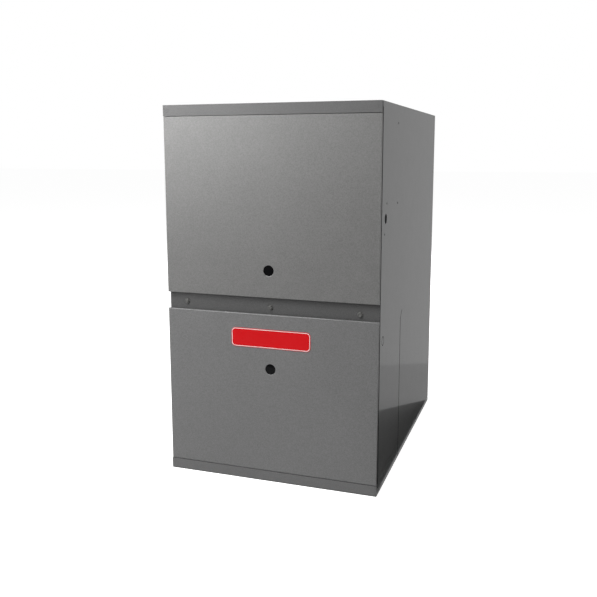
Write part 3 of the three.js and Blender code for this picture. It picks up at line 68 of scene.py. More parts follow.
class Surface:
    """A Principled material with a few procedural layers, in object coordinates."""

    def __init__(self, name, **sockets):
        self.material = bpy.data.materials.new(name)
        self.material.use_nodes = True
        self.tree = self.material.node_tree
        self.shader = self.tree.nodes["Principled BSDF"]
        self.place = self.tree.nodes.new("ShaderNodeTexCoord").outputs["Object"]
        for socket, value in sockets.items():
            self.shader.inputs[socket.replace("_", " ")].default_value = value

    def node(self, kind, **values):
        """A node, with each value given to the input or the setting of its name."""
        made = self.tree.nodes.new(kind)
        for key, value in values.items():
            if key in made.inputs:
                made.inputs[key].default_value = value
            else:
                setattr(made, key, value)
        return made

    def link(self, source, target):
        self.tree.links.new(source, target)

    def noise(self, scale, detail=3.0):
        made = self.node("ShaderNodeTexNoise", Scale=scale, Detail=detail)
        self.link(self.place, made.inputs["Vector"])
        return made.outputs["Fac"]

    def cells(self, scale):
        """A grey of its own for each cell."""
        made = self.node("ShaderNodeTexVoronoi", Scale=scale)
        self.link(self.place, made.inputs["Vector"])
        grey = self.node("ShaderNodeRGBToBW")
        self.link(made.outputs["Color"], grey.inputs["Color"])
        return grey.outputs["Val"]

    def range(self, factor, low, high, start=0.3, end=0.7):
        """Low where the factor is at its start, high where it is at its end."""
        made = self.node("ShaderNodeMapRange")
        for socket, value in (("From Min", start), ("From Max", end), ("To Min", low), ("To Max", high)):
            made.inputs[socket].default_value = value
        self.link(factor, made.inputs["Value"])
        return made.outputs["Result"]

    def blend(self, factor, first, second):
        """From the first colour to the second as the factor goes from 0 to 1."""
        made = self.node("ShaderNodeMix", data_type="RGBA")
        self.link(factor, made.inputs[0])
        made.inputs[6].default_value = (*first, 1)
        made.inputs[7].default_value = (*second, 1)
        return made.outputs[2]

    def times(self, first, second, share=1.0):
        """One colour multiplied by a share of another."""
        made = self.node("ShaderNodeMix", data_type="RGBA", blend_type="MULTIPLY")
        made.inputs[0].default_value = share
        self.link(first, made.inputs[6])
        self.link(second, made.inputs[7])
        return made.outputs[2]

    def colour(self, output):
        self.link(output, self.shader.inputs["Base Color"])
        return self

    def rough(self, factor, low, high):
        self.link(self.range(factor, low, high), self.shader.inputs["Roughness"])
        return self

    def bump(self, height, strength, distance=0.2 * MM):
        """Adds a relief to those that the surface has already."""
        made = self.node("ShaderNodeBump", Strength=strength, Distance=distance)
        self.link(height, made.inputs["Height"])
        if self.shader.inputs["Normal"].is_linked:
            self.link(self.shader.inputs["Normal"].links[0].from_socket, made.inputs["Normal"])
        self.link(made.outputs["Normal"], self.shader.inputs["Normal"])
        return self


def painted(name, base, coat=0.35, coat_rough=0.36, metallic=0.3, rough=(0.38, 0.44), tint=(1, 1, 1)):
    """Sprayed enamel: even colour with a trace of mottling, a fine fleck and orange peel."""
    mottling, fleck = 0.025, 0.13
    s = Surface(name, Metallic=metallic, Coat_Weight=coat, Coat_Roughness=coat_rough)
    dark, light = (tuple(base * share * c for c in tint) for share in (1 - mottling, 1 + mottling))
    mottled = s.blend(s.range(s.noise(5.5, 4), 0, 1), dark, light)
    flecks = s.blend(s.range(s.noise(560, 2), 0, 1, 0.35, 0.65), (1 - fleck,) * 3, (1 + fleck,) * 3)
    s.colour(s.times(mottled, flecks))
    s.rough(s.noise(38, 3), *rough)
    if coat > 0.5:
        s.link(s.range(s.noise(700, 2), coat * 0.7, coat * 1.3), s.shader.inputs["Coat Weight"])
    return s.bump(s.noise(620, 2), 0.05, 0.1 * MM).material


def metal(name, dark, light, scale=60, rough=(0.3, 0.5), spangle=False, peel=(260, 0.08)):
    """Bare or plated metal, cloudy or in the crystal cells of hot-dip zinc, with a fine relief."""
    s = Surface(name, Metallic=0.9)
    pattern = s.cells(scale) if spangle else s.noise(scale, 5)
    s.colour(s.blend(s.range(pattern, 0, 1, 0.25, 0.75), dark, light))
    s.rough(pattern, *rough)
    peel_scale, peel_strength = peel
    return s.bump(s.noise(peel_scale, 3), peel_strength).material


def moulded(name, base, rough=(0.45, 0.58), grain=(900, 0.08), vary=0.12, specular=0.5):
    """Plastic, rubber, ceramic or glass: one colour that varies a little, with a moulded grain."""
    s = Surface(name, Specular_IOR_Level=specular)
    dark, light = (tuple(c * share for c in base) for share in (1 - vary, 1 + vary))
    s.colour(s.blend(s.range(s.noise(26, 4), 0, 1), dark, light))
    s.rough(s.noise(80, 2), *rough)
    grain_scale, grain_strength = grain
    return s.bump(s.noise(grain_scale, 2), grain_strength, 0.1 * MM).material


def foil_material():
    """Foil facing of the liner, creased and embossed."""
    s = Surface("foil_liner", Metallic=0.95)
    s.colour(s.blend(s.range(s.noise(14, 5), 0, 1), (0.62, 0.64, 0.66), (0.86, 0.87, 0.88)))
    s.rough(s.noise(30, 3), 0.16, 0.34)
    s.bump(s.noise(22, 5), 0.5, 4 * MM)
    return s.bump(s.cells(60), 0.12, 1 * MM).material


def heated_material():
    """Aluminised tube steel, blue and straw where the flame enters it."""
    s = Surface("aluminised_tube", Metallic=0.92)
    split = s.node("ShaderNodeSeparateXYZ")
    s.link(s.place, split.inputs["Vector"])
    spots = s.blend(s.range(s.noise(42, 5), 0, 1), (0.33, 0.335, 0.34), (0.5, 0.5, 0.5))
    ramp = s.node("ShaderNodeValToRGB")
    stops = ramp.color_ramp.elements
    stops.remove(stops[0])
    stops.new(0).color = (0.24, 0.25, 0.36, 1)
    stops.new(0.35).color = (0.46, 0.36, 0.24, 1)
    stops[-1].color = (1, 1, 1, 1)
    flame_height, clean_height = 0.47, 0.6
    s.link(s.range(split.outputs["Z"], 0, 1, flame_height, clean_height), ramp.inputs["Fac"])
    s.colour(s.times(spots, ramp.outputs["Color"], 0.7))
    s.rough(s.noise(70, 3), 0.3, 0.48)
    return s.bump(s.noise(300, 3), 0.08).material


def board_material():
    """Solder mask over copper, in two greens."""
    s = Surface("circuit_board")
    s.colour(s.blend(s.range(s.noise(240, 2), 0, 1, 0.48, 0.52), (0.02, 0.13, 0.05), (0.035, 0.2, 0.08)))
    s.rough(s.noise(60, 2), 0.3, 0.42)
    return s.bump(s.noise(900, 2), 0.1, 0.1 * MM).material


def enamel_material():
    """The badge's red vitreous enamel."""
    s = Surface("badge_enamel", Coat_Weight=0.1, Coat_Roughness=0.06, Specular_IOR_Level=0.3)
    s.colour(s.blend(s.range(s.noise(9, 3), 0, 1), (0.62, 0.001, 0.004), (0.68, 0.002, 0.006)))
    s.rough(s.noise(60, 2), 0.28, 0.36)
    return s.bump(s.noise(400, 2), 0.04, 0.1 * MM).material


GREY = 0.2
paint = painted("cabinet_paint", GREY)
paint_rail = painted("cabinet_paint_rail", GREY * 0.85)
paint_top_rail = painted("top_rail_paint", GREY * 0.64, coat=0.1, metallic=0.15)
# The divider strip's paint is duller and darker than the doors'. Part of its darkness is painted shade for
# its recess under the upper door.
strip_paint_and_shade = painted("divider_strip_paint_and_shade", GREY * 0.46, coat=0.0, metallic=0.05)
paint_upper_door = painted("door_paint", GREY, tint=(1.005, 1.0, 0.985))
paint_side = painted("side_paint", GREY * 0.82, coat=0.6, coat_rough=0.07, metallic=0.1, rough=(0.39, 0.41))
paint_back = painted("back_paint", GREY)
black_enamel = painted("black_enamel", 0.02, coat=0.3, metallic=0.0, rough=(0.36, 0.5))
galvanised = metal("galvanised_steel", (0.42, 0.44, 0.46), (0.66, 0.68, 0.7), 90, spangle=True)
aluminised = metal("aluminised_steel", (0.36, 0.37, 0.375), (0.52, 0.52, 0.52), 55)
zinc = metal("zinc_plate", (0.55, 0.55, 0.52), (0.72, 0.72, 0.68), 200, (0.22, 0.36))
zinc_head = metal("zinc_screw_head", (0.17, 0.17, 0.165), (0.3, 0.3, 0.29), 260, (0.3, 0.45))
casting = metal("cast_aluminium", (0.4, 0.41, 0.42), (0.56, 0.57, 0.58), 40, (0.42, 0.6), peel=(700, 0.25))
copper = metal("copper_winding", (0.42, 0.16, 0.06), (0.6, 0.26, 0.11), 300, (0.28, 0.42))
plastic = moulded("dark_plastic", (0.022, 0.023, 0.025))
rubber = moulded("black_rubber", (0.018, 0.018, 0.018), (0.6, 0.8))
ceramic = moulded("ceramic", (0.72, 0.69, 0.62), (0.5, 0.75), (500, 0.15), 0.05)
signal_red = moulded("signal_red", (0.42, 0.03, 0.02), (0.3, 0.42))
glass = moulded("smoked_glass", (0.003, 0.003, 0.0035), (0.05, 0.09), (60, 0.02), specular=0.2)
# A near-black, unreflecting finish for painted shade, laid in scored lines and gaps to stand for the shade in
# them.
painted_shade = moulded("painted_gap_shade", (0.006, 0.006, 0.006), (0.8, 0.95), (500, 0.05), specular=0.0)
pale_line = moulded("badge_line", (0.9, 0.74, 0.74), (0.3, 0.4), (500, 0.03), 0.04)
nylon = moulded("white_nylon", (0.66, 0.64, 0.58), (0.35, 0.5), (500, 0.05), 0.05)
relay_blue = moulded("relay_case", (0.03, 0.09, 0.25), (0.3, 0.42))
fuse_violet = moulded("fuse_case", (0.25, 0.09, 0.36), (0.2, 0.3))
tape = moulded("winding_tape", (0.62, 0.42, 0.06), (0.4, 0.55), (300, 0.06), 0.08)
badge_red = enamel_material()
foil = foil_material()
heated = heated_material()
board_green = board_material()

# ---- Mesh helpers ----


def finished(name, bm, material, body="cabinet", stands_for=(), sharp=32):
    """Turns a bmesh into a piece: smooth faces, sharp edges above an angle, riding on a body."""
    bmesh.ops.remove_doubles(bm, verts=bm.verts, dist=1e-7)
    bmesh.ops.recalc_face_normals(bm, faces=bm.faces)
    for face in bm.faces:
        face.smooth = True
    for edge in bm.edges:
        edge.smooth = len(edge.link_faces) == 2 and edge.calc_face_angle(0) < math.radians(sharp)
    mesh = bpy.data.meshes.new(name)
    bm.to_mesh(mesh)
    bm.free()
    mesh.materials.append(material)
    piece = bpy.data.objects.new(name, mesh)
    bpy.context.scene.collection.objects.link(piece)
    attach(piece, body)
    if stands_for:
        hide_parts(*stands_for)
    even = piece.modifiers.new("even_faces", "WEIGHTED_NORMAL")
    even.keep_sharp = True


def spun(centre, axis, angle):
    """A turn by an angle about an axis through a centre."""
    shift = Matrix.Translation(centre)
    return shift @ Matrix.Rotation(angle, 4, axis) @ shift.inverted()


def add_box(bm, low, high, bevel=0.0, segments=2, turn=None):
    """A box between two corners, with bevelled edges where a bevel is given."""
    made = bmesh.ops.create_cube(bm, size=1)["verts"]
    for v in made:
        v.co = Vector([l + (h - l) * (c + 0.5) for l, h, c in zip(low, high, v.co)])
    if bevel:
        edges = list({edge for v in made for edge in v.link_edges})
        made = bmesh.ops.bevel(
            bm, geom=edges, offset=bevel, segments=segments, affect="EDGES", profile=0.5
        )["verts"]
    if turn:
        bmesh.ops.transform(bm, matrix=turn, verts=made)


# Turns a profile's own Z onto each axis
AXES = {
    "x": Matrix(((0, 0, 1), (1, 0, 0), (0, 1, 0))),
    "y": Matrix(((1, 0, 0), (0, 0, 1), (0, 1, 0))),
    "z": Matrix(((1, 0, 0), (0, 1, 0), (0, 0, 1))),
}


def add_turned(bm, profile, axis, centre, segments=48, closed=False):
    """Revolves (radius, distance) pairs in millimetres about an axis through a centre."""
    rings = []
    for radius, along in profile:
        ring = []
        for i in range(segments if radius else 1):
            angle = 2 * math.pi * i / segments
            spot = AXES[axis] @ Vector((radius * math.cos(angle), radius * math.sin(angle), along))
            ring.append(bm.verts.new(spot * MM + Vector(centre)))
        rings.append(ring)
    if closed:
        rings.append(rings[0])
    for first, second in zip(rings, rings[1:]):
        for i in range(segments):
            j = (i + 1) % segments
            around = (first[i % len(first)], first[j % len(first)],
                      second[j % len(second)], second[i % len(second)])
            corners = list(dict.fromkeys(around))
            if len(corners) > 2:
                bm.faces.new(corners)


def rounded(corners, radius, steps=6):
    """Points along a polyline with its inner corners rounded."""
    corners = [Vector(c) for c in corners]
    points = [corners[0]]
    for before, corner, after in zip(corners, corners[1:], corners[2:]):
        to, away = (corner - before).normalized(), (after - corner).normalized()
        half = to.angle(away) / 2
        longest = 0.499 * min((corner - before).length, (after - corner).length)
        setback = min(radius * math.tan(half), longest)
        bend = setback / math.tan(half)
        side = (away - to * to.dot(away)).normalized()
        centre = corner - to * setback + side * bend
        for k in range(steps + 1):
            turn = 2 * half * k / steps
            points.append(centre + (to * math.sin(turn) - side * math.cos(turn)) * bend)
    return points + [corners[-1]]


def travelling_frames(points):
    """The points of a line, each with two directions across it that don't twist along it."""
    steps = [(b - a).normalized() for a, b in zip(points, points[1:])]
    tangents = [steps[0]] + [(a + b).normalized() for a, b in zip(steps, steps[1:])] + [steps[-1]]
    across = tangents[0].orthogonal().normalized()
    frames = []
    for point, tangent in zip(points, tangents):
        across = (across - tangent * tangent.dot(across)).normalized()
        frames.append((point, across, tangent.cross(across)))
    return frames


def add_tube(bm, points, radius, sides, wall=0.0):
    """Sweeps a circle along points: a bored tube where a wall is given, or else a rod."""
    radii = [radius, radius - wall] if wall else [radius]
    rings = [
        [
            [bm.verts.new(point + (across * math.cos(a) + other * math.sin(a)) * r)
             for a in (2 * math.pi * i / sides for i in range(sides))]
            for r in radii
        ]
        for point, across, other in travelling_frames([Vector(p) for p in points])
    ]
    for shells in zip(*rings):
        ring_faces(bm, shells)
    for end in (rings[0], rings[-1]):
        if wall:
            ring_faces(bm, end)
        else:
            bm.faces.new(end[0])


def ring_faces(bm, rings):
    """Joins closed rings of the same count one after the other."""
    for first, second in zip(rings, rings[1:]):
        for i in range(len(first)):
            j = (i + 1) % len(first)
            bm.faces.new((first[i], first[j], second[j], second[i]))


def dress(node, material, soft_edge):
    """Gives a CAD node that keeps its shape its material, and its edges a small bevel."""
    piece = nodes[node]
    piece.data.materials.clear()
    piece.data.materials.append(material)
    if soft_edge:
        bevel = piece.modifiers.new("soft_edges", "BEVEL")
        bevel.width, bevel.segments = soft_edge * MM, 2
        bevel.limit_method, bevel.angle_limit = "ANGLE", math.radians(40)


# ---- Doors and badge ----


def door_skin(place, finish):
    """A sheet pan with rounded front edges and a punched sight hole with a rolled lip, and its lens."""
    door, sight = Box(f"{place}_door"), Box(f"{place}_sight_glass")
    body = f"{place}_door_unit"
    edge_radius, sheet, pan_depth, hole_sides = 1.6 * MM, 1 * MM, 5.9 * MM, 64
    face = door.low.y
    centre = Vector((sight.middle.x, face, sight.middle.z))
    bm = bmesh.new()

    def loop(inset, y):
        left, right = door.low.x + inset, door.high.x - inset
        bottom, top = door.low.z + inset, door.high.z - inset
        corners = ((left, bottom), (right, bottom), (right, top), (left, top))
        return [bm.verts.new((x, y, z)) for x, z in corners]

    def shell(inset):
        """The pan's outer or inner side, from its back edge round to its face."""
        bend = edge_radius - inset
        rings = [loop(inset, face + pan_depth)]
        for step in range(9):
            turn = math.radians(90) * step / 8
            y = face + edge_radius - bend * math.sin(turn)
            rings.append(loop(edge_radius - bend * math.cos(turn), y))
        ring_faces(bm, rings)
        return rings

    def punched(ring, hole):
        """Fills the face between the pan's edge and the hole."""
        edges = {edge for v in ring for edge in v.link_edges if edge.other_vert(v) in ring}
        edges |= {bm.edges.get((v, following)) for v, following in zip(hole, hole[1:] + hole[:1])}
        bmesh.ops.triangle_fill(bm, use_beauty=True, edges=list(edges))

    outer, inner = shell(0), shell(sheet)
    ring_faces(bm, [outer[0], inner[0]])
    lip = ((13.7, 0), (12.9, 0.2), (12.5, 0.6), (12.5, 1))
    hole_rings = []
    for radius, sink in lip:
        angles = (2 * math.pi * i / hole_sides for i in range(hole_sides))
        hole_rings.append([
            bm.verts.new(centre + Vector((radius * math.cos(a), sink, radius * math.sin(a))) * MM)
            for a in angles
        ])
    ring_faces(bm, hole_rings)
    punched(outer[-1], hole_rings[0])
    punched(inner[-1], hole_rings[-1])
    finished(f"{place}_door_skin", bm, finish, body, [f"{place}_door"])
    lens = bmesh.new()
    profile = ((0, 0.4), (8, 0.5), (11.8, 0.8), (12.2, 1.2), (12.2, 1.8), (16.7, 1.8), (16.7, 3.6), (0, 3.6))
    add_turned(lens, profile, "y", centre, hole_sides)
    finished(f"{place}_door_skin_lens", lens, glass, body, [f"{place}_sight_glass"])


def badge():
    """The badge's place: a plain red enamelled plate with a thin pale line inside its edge."""
    box = Box("badge_plate")
    half_width, half_height = (box.high.x - box.low.x) / 2, (box.high.z - box.low.z) / 2
    corner_radius = 10 * MM
    front = box.low.y + 0.02 * MM

    def outline(target, inset, y):
        r = corner_radius - inset
        points = []
        for sx, sz, start in ((1, 1, 0), (-1, 1, 90), (-1, -1, 180), (1, -1, 270)):
            for k in range(9):
                a = math.radians(start + 90 * k / 8)
                x = box.middle.x + sx * (half_width - corner_radius) + r * math.cos(a)
                z = box.middle.z + sz * (half_height - corner_radius) + r * math.sin(a)
                points.append(target.verts.new((x, y, z)))
        return points

    plate = bmesh.new()
    edge = ((0, box.high.y), (0, front + 0.5 * MM), (0.1 * MM, front + 0.2 * MM), (0.5 * MM, front))
    loops = [outline(plate, inset, y) for inset, y in edge]
    ring_faces(plate, loops)
    plate.faces.new(loops[0])
    plate.faces.new(loops[-1])
    finished("badge_enamel_plate", plate, badge_red, "lower_door_unit", ["badge_plate"])
    line = bmesh.new()
    outer, inner, sunk, proud = 1.2 * MM, 2.7 * MM, front + 0.2 * MM, front - 0.02 * MM
    section = ((outer, sunk), (outer, proud), (inner, proud), (inner, sunk))
    loops = [outline(line, inset, y) for inset, y in section]
    ring_faces(line, loops + [loops[0]])
    finished("badge_border_line", line, pale_line, "lower_door_unit")


# ---- Screws ----


def strip_screw(side):
    """A hex washer head standing on the strip, with a near-black bar of painted shade for its slot."""
    box = Box(f"divider_screw_{side}")
    face = Box("door_divider_strip").low.y
    x, z = box.middle.x, box.middle.z
    centre = Vector((x, face, z))
    bm = bmesh.new()
    washer = ((0, 0), (6.2, 0), (6.4, 0.2), (6.2, 0.9), (5.2, 1.2), (0, 1.2))
    add_turned(bm, washer, "y", (x, face - 1.5 * MM, z), 32)
    rings = []
    for radius, rise in ((5.1, 0.8), (5.1, 3.5), (4.6, 4), (3.9, 4), (3.6, 3.5)):
        angles = (math.pi / 3 * k + 0.2 for k in range(6))
        rings.append([
            bm.verts.new(centre + Vector((radius * math.cos(a), -rise, radius * math.sin(a))) * MM)
            for a in angles
        ])
    ring_faces(bm, rings)
    bm.faces.new(rings[-1])
    shank = ((0, -2), (1.9, -2), (1.9, 12), (1.2, 14.5), (0, 15.5))
    add_turned(bm, shank, "y", centre, 12)
    finished(f"strip_screw_{side}", bm, zinc_head, "cabinet", [f"divider_screw_{side}"], 25)
    # A near-black bar in the head's slot: painted shade for the slot.
    slot = bmesh.new()
    half_length, half_width = 3.1 * MM, 0.5 * MM
    add_box(slot, (x - half_length, face - 3.45 * MM, z - half_width),
            (x + half_length, face - 3 * MM, z + half_width), 0.1 * MM, 1, spun((x, 0, z), "Y", 0.5))
    finished(f"strip_screw_{side}_slot", slot, black_enamel)


def rail_screw(side):
    """A painted flat head, flush with the top rail."""
    middle = Box(f"rail_screw_{side}").middle
    screw = bmesh.new()
    profile = ((0, 0.6), (0.6, 0.5), (0.9, 0.1), (3.5, 0.1), (3.75, 0.3), (1.9, 1.8), (1.9, 23), (0, 25.5))
    add_turned(screw, profile, "y", (middle.x, FRONT, middle.z), 32)
    finished(f"top_rail_screw_{side}", screw, paint_top_rail, "cabinet", [f"rail_screw_{side}"])


# ---- Heat exchanger, burners and flue ----


def heat_tube(number):
    """A serpentine tube of four passes, open at both ends."""
    node = f"heat_exchanger_tube_{number}"
    box = Box(node)
    radius, wall, front_clearance = 22.2 * MM, 1.4 * MM, 10 * MM
    front, rear = box.low.y + 0.1 * MM, box.high.y - radius
    near = Box("vestibule_panel").high.y + front_clearance + radius
    inlet, outlet = box.low.z + radius, box.high.z - radius
    heights = [inlet + (outlet - inlet) * share for share in (0, 0.37, 0.685, 1)]
    route = [(front, 0), (rear, 0), (rear, 1), (near, 1), (near, 2), (rear, 2), (rear, 3), (front, 3)]
    corners = [(box.middle.x, y, heights[level]) for y, level in route]
    tube = bmesh.new()
    add_tube(tube, rounded(corners, (heights[2] - heights[1]) / 2, 12), radius, 32, wall)
    finished(f"heat_tube_{number}", tube, heated, "cabinet", [node])


def inshot_burner(number):
    """A burner's venturi tube, with the crimped vanes of its flame holder."""
    node = f"burner_{number}"
    box = Box(node)
    x, z = box.middle.x, box.middle.z
    cone = bmesh.new()
    outer = [(16.2, 0.6), (16.8, 0.1), (17, 0.6), (16.6, 1.6), (13.4, 7), (11, 12), (10, 17), (10, 33),
             (11, 45), (16, 98), (17.2, 101), (19.8, 106), (20.5, 109), (20.5, 133.6), (20.2, 134)]
    wall = 1.2
    inner = [(r - wall, d) for r, d in reversed(outer)]
    add_turned(cone, outer + inner, "y", (x, box.low.y, z), 40, True)
    for k in range(8):
        low = (x - 0.6 * MM, box.high.y - 20 * MM, z + 8 * MM)
        high = (x + 0.6 * MM, box.high.y - 4 * MM, z + 19.2 * MM)
        add_box(cone, low, high, turn=spun((x, 0, z), "Y", k * math.pi / 4))
    finished(f"inshot_burner_{number}", cone, aluminised, "cabinet", [node])


def vent_collar():
    """The flue collar, with a rolled bead and a foot flange."""
    box = Box("flue_collar")
    collar = bmesh.new()
    profile = ((38, 43.2), (38, 30), (38.6, 28.5), (39, 27), (38.6, 25.5), (38, 24), (38, 3), (39, 1.4),
               (42, 1.2), (42, 0), (36.8, 0), (36.8, 42.6), (37.2, 43.2))
    add_turned(collar, profile, "z", (box.middle.x, box.middle.y, box.low.z), 64, True)
    finished("vent_collar_tube", collar, galvanised, "cabinet", ["flue_collar"])


# ---- Inducer motor, pressure switch and hose. Distances in profiles are depths behind the rails ----

inducer = Box("inducer_wheel").middle
INDUCER_AXIS = (inducer.x, FRONT, inducer.z)


def inducer_motor():
    """A pressed can on three arms, with its stack of laminations and painted shade for the vents in its end.
    """
    can = bmesh.new()
    profile = ((0, 81.4), (9, 81.4), (10, 82.4), (10, 84), (30, 84.6), (36, 87), (40, 92), (41, 96),
               (41, 122), (40, 126), (35, 132), (29, 133.4), (5, 133.4), (4.6, 123.6), (0, 123.6))
    add_turned(can, profile, "y", INDUCER_AXIS, 56)
    for k in range(3):
        low = (inducer.x - 4 * MM, back(125.4), inducer.z + 36 * MM)
        high = (inducer.x + 4 * MM, back(147.1), inducer.z + 45 * MM)
        add_box(can, low, high, 0.8 * MM, 2, spun(INDUCER_AXIS, "Y", k * 2 * math.pi / 3))
    finished("inducer_motor_can", can, zinc, "cabinet", ["inducer_motor"])
    stack = bmesh.new()
    sheet, pitch = 1.6, 2.2
    for k in range(9):
        d = 100 + pitch * k
        ring = ((40, d), (41.9, d), (41.9, d + sheet), (40, d + sheet))
        add_turned(stack, ring, "y", INDUCER_AXIS, 56, True)
    finished("inducer_motor_laminations", stack, aluminised)
    # Near-black patches on the can's end: painted shade for the vent slots.
    vents = bmesh.new()
    for k in range(10):
        low = (inducer.x - 3 * MM, back(84.1), inducer.z + 15 * MM)
        high = (inducer.x + 3 * MM, back(86), inducer.z + 28 * MM)
        add_box(vents, low, high, 0.4 * MM, 1, spun(INDUCER_AXIS, "Y", k * math.pi / 5))
    finished("inducer_motor_vents", vents, plastic)


def pressure_switch():
    """A round diaphragm switch with a port and two blades, on a Z bracket, and its hose."""
    box = Box("pressure_switch")
    x, z = box.middle.x, box.middle.z
    switch = bmesh.new()
    profile = ((0, 178.4), (9, 178.4), (9.5, 177.7), (12, 177.7), (12.6, 178.6), (13, 183), (27, 184),
               (30, 187), (34, 188), (36, 189), (36, 194), (34, 195), (32, 196), (31, 203), (28, 205.7),
               (0, 205.7))
    add_turned(switch, profile, "y", (x, FRONT, z), 48)
    port_x = x + 14 * MM
    add_tube(switch, [(port_x, box.low.y, z), (port_x, back(184.5), z)], 2.2 * MM, 14)
    for blade_x in (x - 14 * MM, x - 6 * MM):
        low = (blade_x - 0.4 * MM, back(174), z - 18 * MM)
        add_box(switch, low, (blade_x + 0.4 * MM, back(184.5), z - 11.7 * MM))
    finished("pressure_switch_body", switch, plastic, "cabinet", ["pressure_switch"])
    bracket = bmesh.new()
    rivet_circle, rivet = 32.5 * MM, ((0, 187.2), (2.2, 187.2), (2.4, 188), (2.4, 188.6), (0, 188.6))
    for k in range(6):
        a = k * math.pi / 3 + 0.3
        spot = (x + rivet_circle * math.cos(a), FRONT, z + rivet_circle * math.sin(a))
        add_turned(bracket, rivet, "y", spot, 12)
    sheet, half_width, rise, foot, plate_front = 2 * MM, 24 * MM, 34 * MM, 12 * MM, back(205.7)
    for low_y, high_y, low_z, high_z in (
        (plate_front, plate_front + sheet, z - rise, z + rise),
        (plate_front, box.high.y, z - rise, z - rise + sheet),
        (box.high.y - sheet, box.high.y, z - rise - foot, z - rise + sheet),
    ):
        add_box(bracket, (x - half_width, low_y, low_z), (x + half_width, high_y, high_z), 0.5 * MM)
    finished("pressure_switch_bracket", bracket, galvanised)
    hose, hose_box = bmesh.new(), Box("pressure_hose")
    radius = 3.6 * MM
    left, right = hose_box.low.x + radius, hose_box.high.x - radius
    front, top = hose_box.low.y + radius, hose_box.high.z - radius
    route = [(left, box.low.y - 0.3 * MM, z), (left, front, z), (left, front, top), (right, front, top),
             (right, hose_box.high.y, top)]
    add_tube(hose, rounded(route, 14 * MM, 10), radius, 20)
    finished("pressure_switch_hose", hose, rubber, "cabinet", ["pressure_hose"])


# ---- Gas valve knob and fittings ----


def gas_knob():
    """A knob with twenty flutes and a pointer line."""
    box = Box("gas_valve_knob")
    x, z = box.middle.x, box.middle.z
    flute_points = 80
    knob = bmesh.new()
    loops = []
    for radius, depth, flute in ((13.8, 10.8, 0), (15.2, 11.2, 0.4), (16, 12.4, 0.9), (16, 21.6, 0.9),
                                 (15.2, 22.6, 0.4), (5, 22.7, 0), (5, 26.6, 0), (4.6, 27, 0)):
        loop = []
        for k in range(flute_points):
            angle = 2 * math.pi * k / flute_points
            r = (radius - (flute if k % 4 > 1 else 0)) * MM
            loop.append(knob.verts.new((x + r * math.cos(angle), back(depth), z + r * math.sin(angle))))
        loops.append(loop)
    ring_faces(knob, loops)
    knob.faces.new(loops[0])
    knob.faces.new(loops[-1])
    finished("gas_knob_fluted", knob, plastic, "valve_knob", ["gas_valve_knob"])
    pointer = bmesh.new()
    low, high = (x - 1.2 * MM, back(10.7), z + 4 * MM), (x + 1.2 * MM, back(11), z + 12.5 * MM)
    add_box(pointer, low, high, 0.1 * MM, 1)
    finished("gas_knob_pointer", pointer, ceramic, "valve_knob")


def gas_valve_fittings():
    """Four cover screws, the regulator's cap and two terminal blades on the gas valve."""
    box = Box("gas_valve_body")
    fittings = bmesh.new()
    screw = ((0, 4.4), (1.6, 4.4), (1.6, 5.4), (3.2, 5.4), (3.6, 5), (3.6, 0), (0, 0))
    for y in (box.high.y - 8 * MM, box.low.y + 7 * MM):
        for x in (box.high.x - 83 * MM, box.high.x - 5 * MM):
            add_turned(fittings, screw, "z", (x, y, box.middle.z), 20)
    cap = ((0, 3.4), (4, 3.4), (6.5, 3), (7, 2.4), (7, 0), (0, 0))
    add_turned(fittings, cap, "z", (box.high.x - 26 * MM, back(62), box.high.z), 28)
    for x in (box.high.x - 74 * MM, box.high.x - 68 * MM):
        add_box(fittings, (x, back(50), box.high.z), (x + 0.8 * MM, back(56), box.high.z + 7.9 * MM))
    finished("gas_valve_fittings", fittings, zinc)


# ---- Circulating blower. Distances in profiles are X ----

BLOWER_AXIS = (0, back(400), 200.75 * MM)


def blower_wheel():
    """A squirrel cage with forward-curved vanes, two rims, a centre disc and a hub."""
    bm = bmesh.new()
    for x in (-101.5, 97.5):
        rim = ((110, x), (126.4, x), (127, x + 0.6), (127, x + 3.4), (126.4, x + 4), (110, x + 4))
        add_turned(bm, rim, "x", BLOWER_AXIS, 96, True)
    disc = ((6.65, 20), (15.5, 20), (16, 20.5), (16, 33.6), (40, 34), (44, 33), (70, 33), (74, 34), (112, 34),
            (112, 36), (74, 36), (70, 35), (44, 35), (40, 36), (16, 36.4), (16, 47.5), (15.5, 48), (6.65, 48))
    add_turned(bm, disc, "x", BLOWER_AXIS, 64, True)
    vanes, inner_radius, vane_depth, sweep, sheet = 44, 110.3 * MM, 16 * MM, 0.15, 0.8 * MM
    shares = [k / 5 for k in range(6)]
    for vane in range(vanes):
        section = []
        for thickness, line in ((0, shares), (sheet, shares[::-1])):
            for share in line:
                r = inner_radius + vane_depth * share
                a = 2 * math.pi * vane / vanes + sweep * share ** 1.8 + thickness / r
                section.append((BLOWER_AXIS[1] + r * math.sin(a), BLOWER_AXIS[2] + r * math.cos(a)))
        ends = [[bm.verts.new((x * MM, y, z)) for y, z in section] for x in (-98.5, 98.5)]
        ring_faces(bm, ends)
        for end in ends:
            bm.faces.new(end)
    finished("blower_wheel_vanes", bm, galvanised, "blower_rotor", ["blower_wheel"])


def blower_shaft():
    shaft = bmesh.new()
    profile = ((0, -29.2), (5.9, -29.2), (6.35, -28.7), (6.35, 53.4), (5.8, 54), (0, 54))
    add_turned(shaft, profile, "x", BLOWER_AXIS, 32)
    finished("blower_shaft_turned", shaft, zinc, "blower_rotor", ["blower_shaft"])


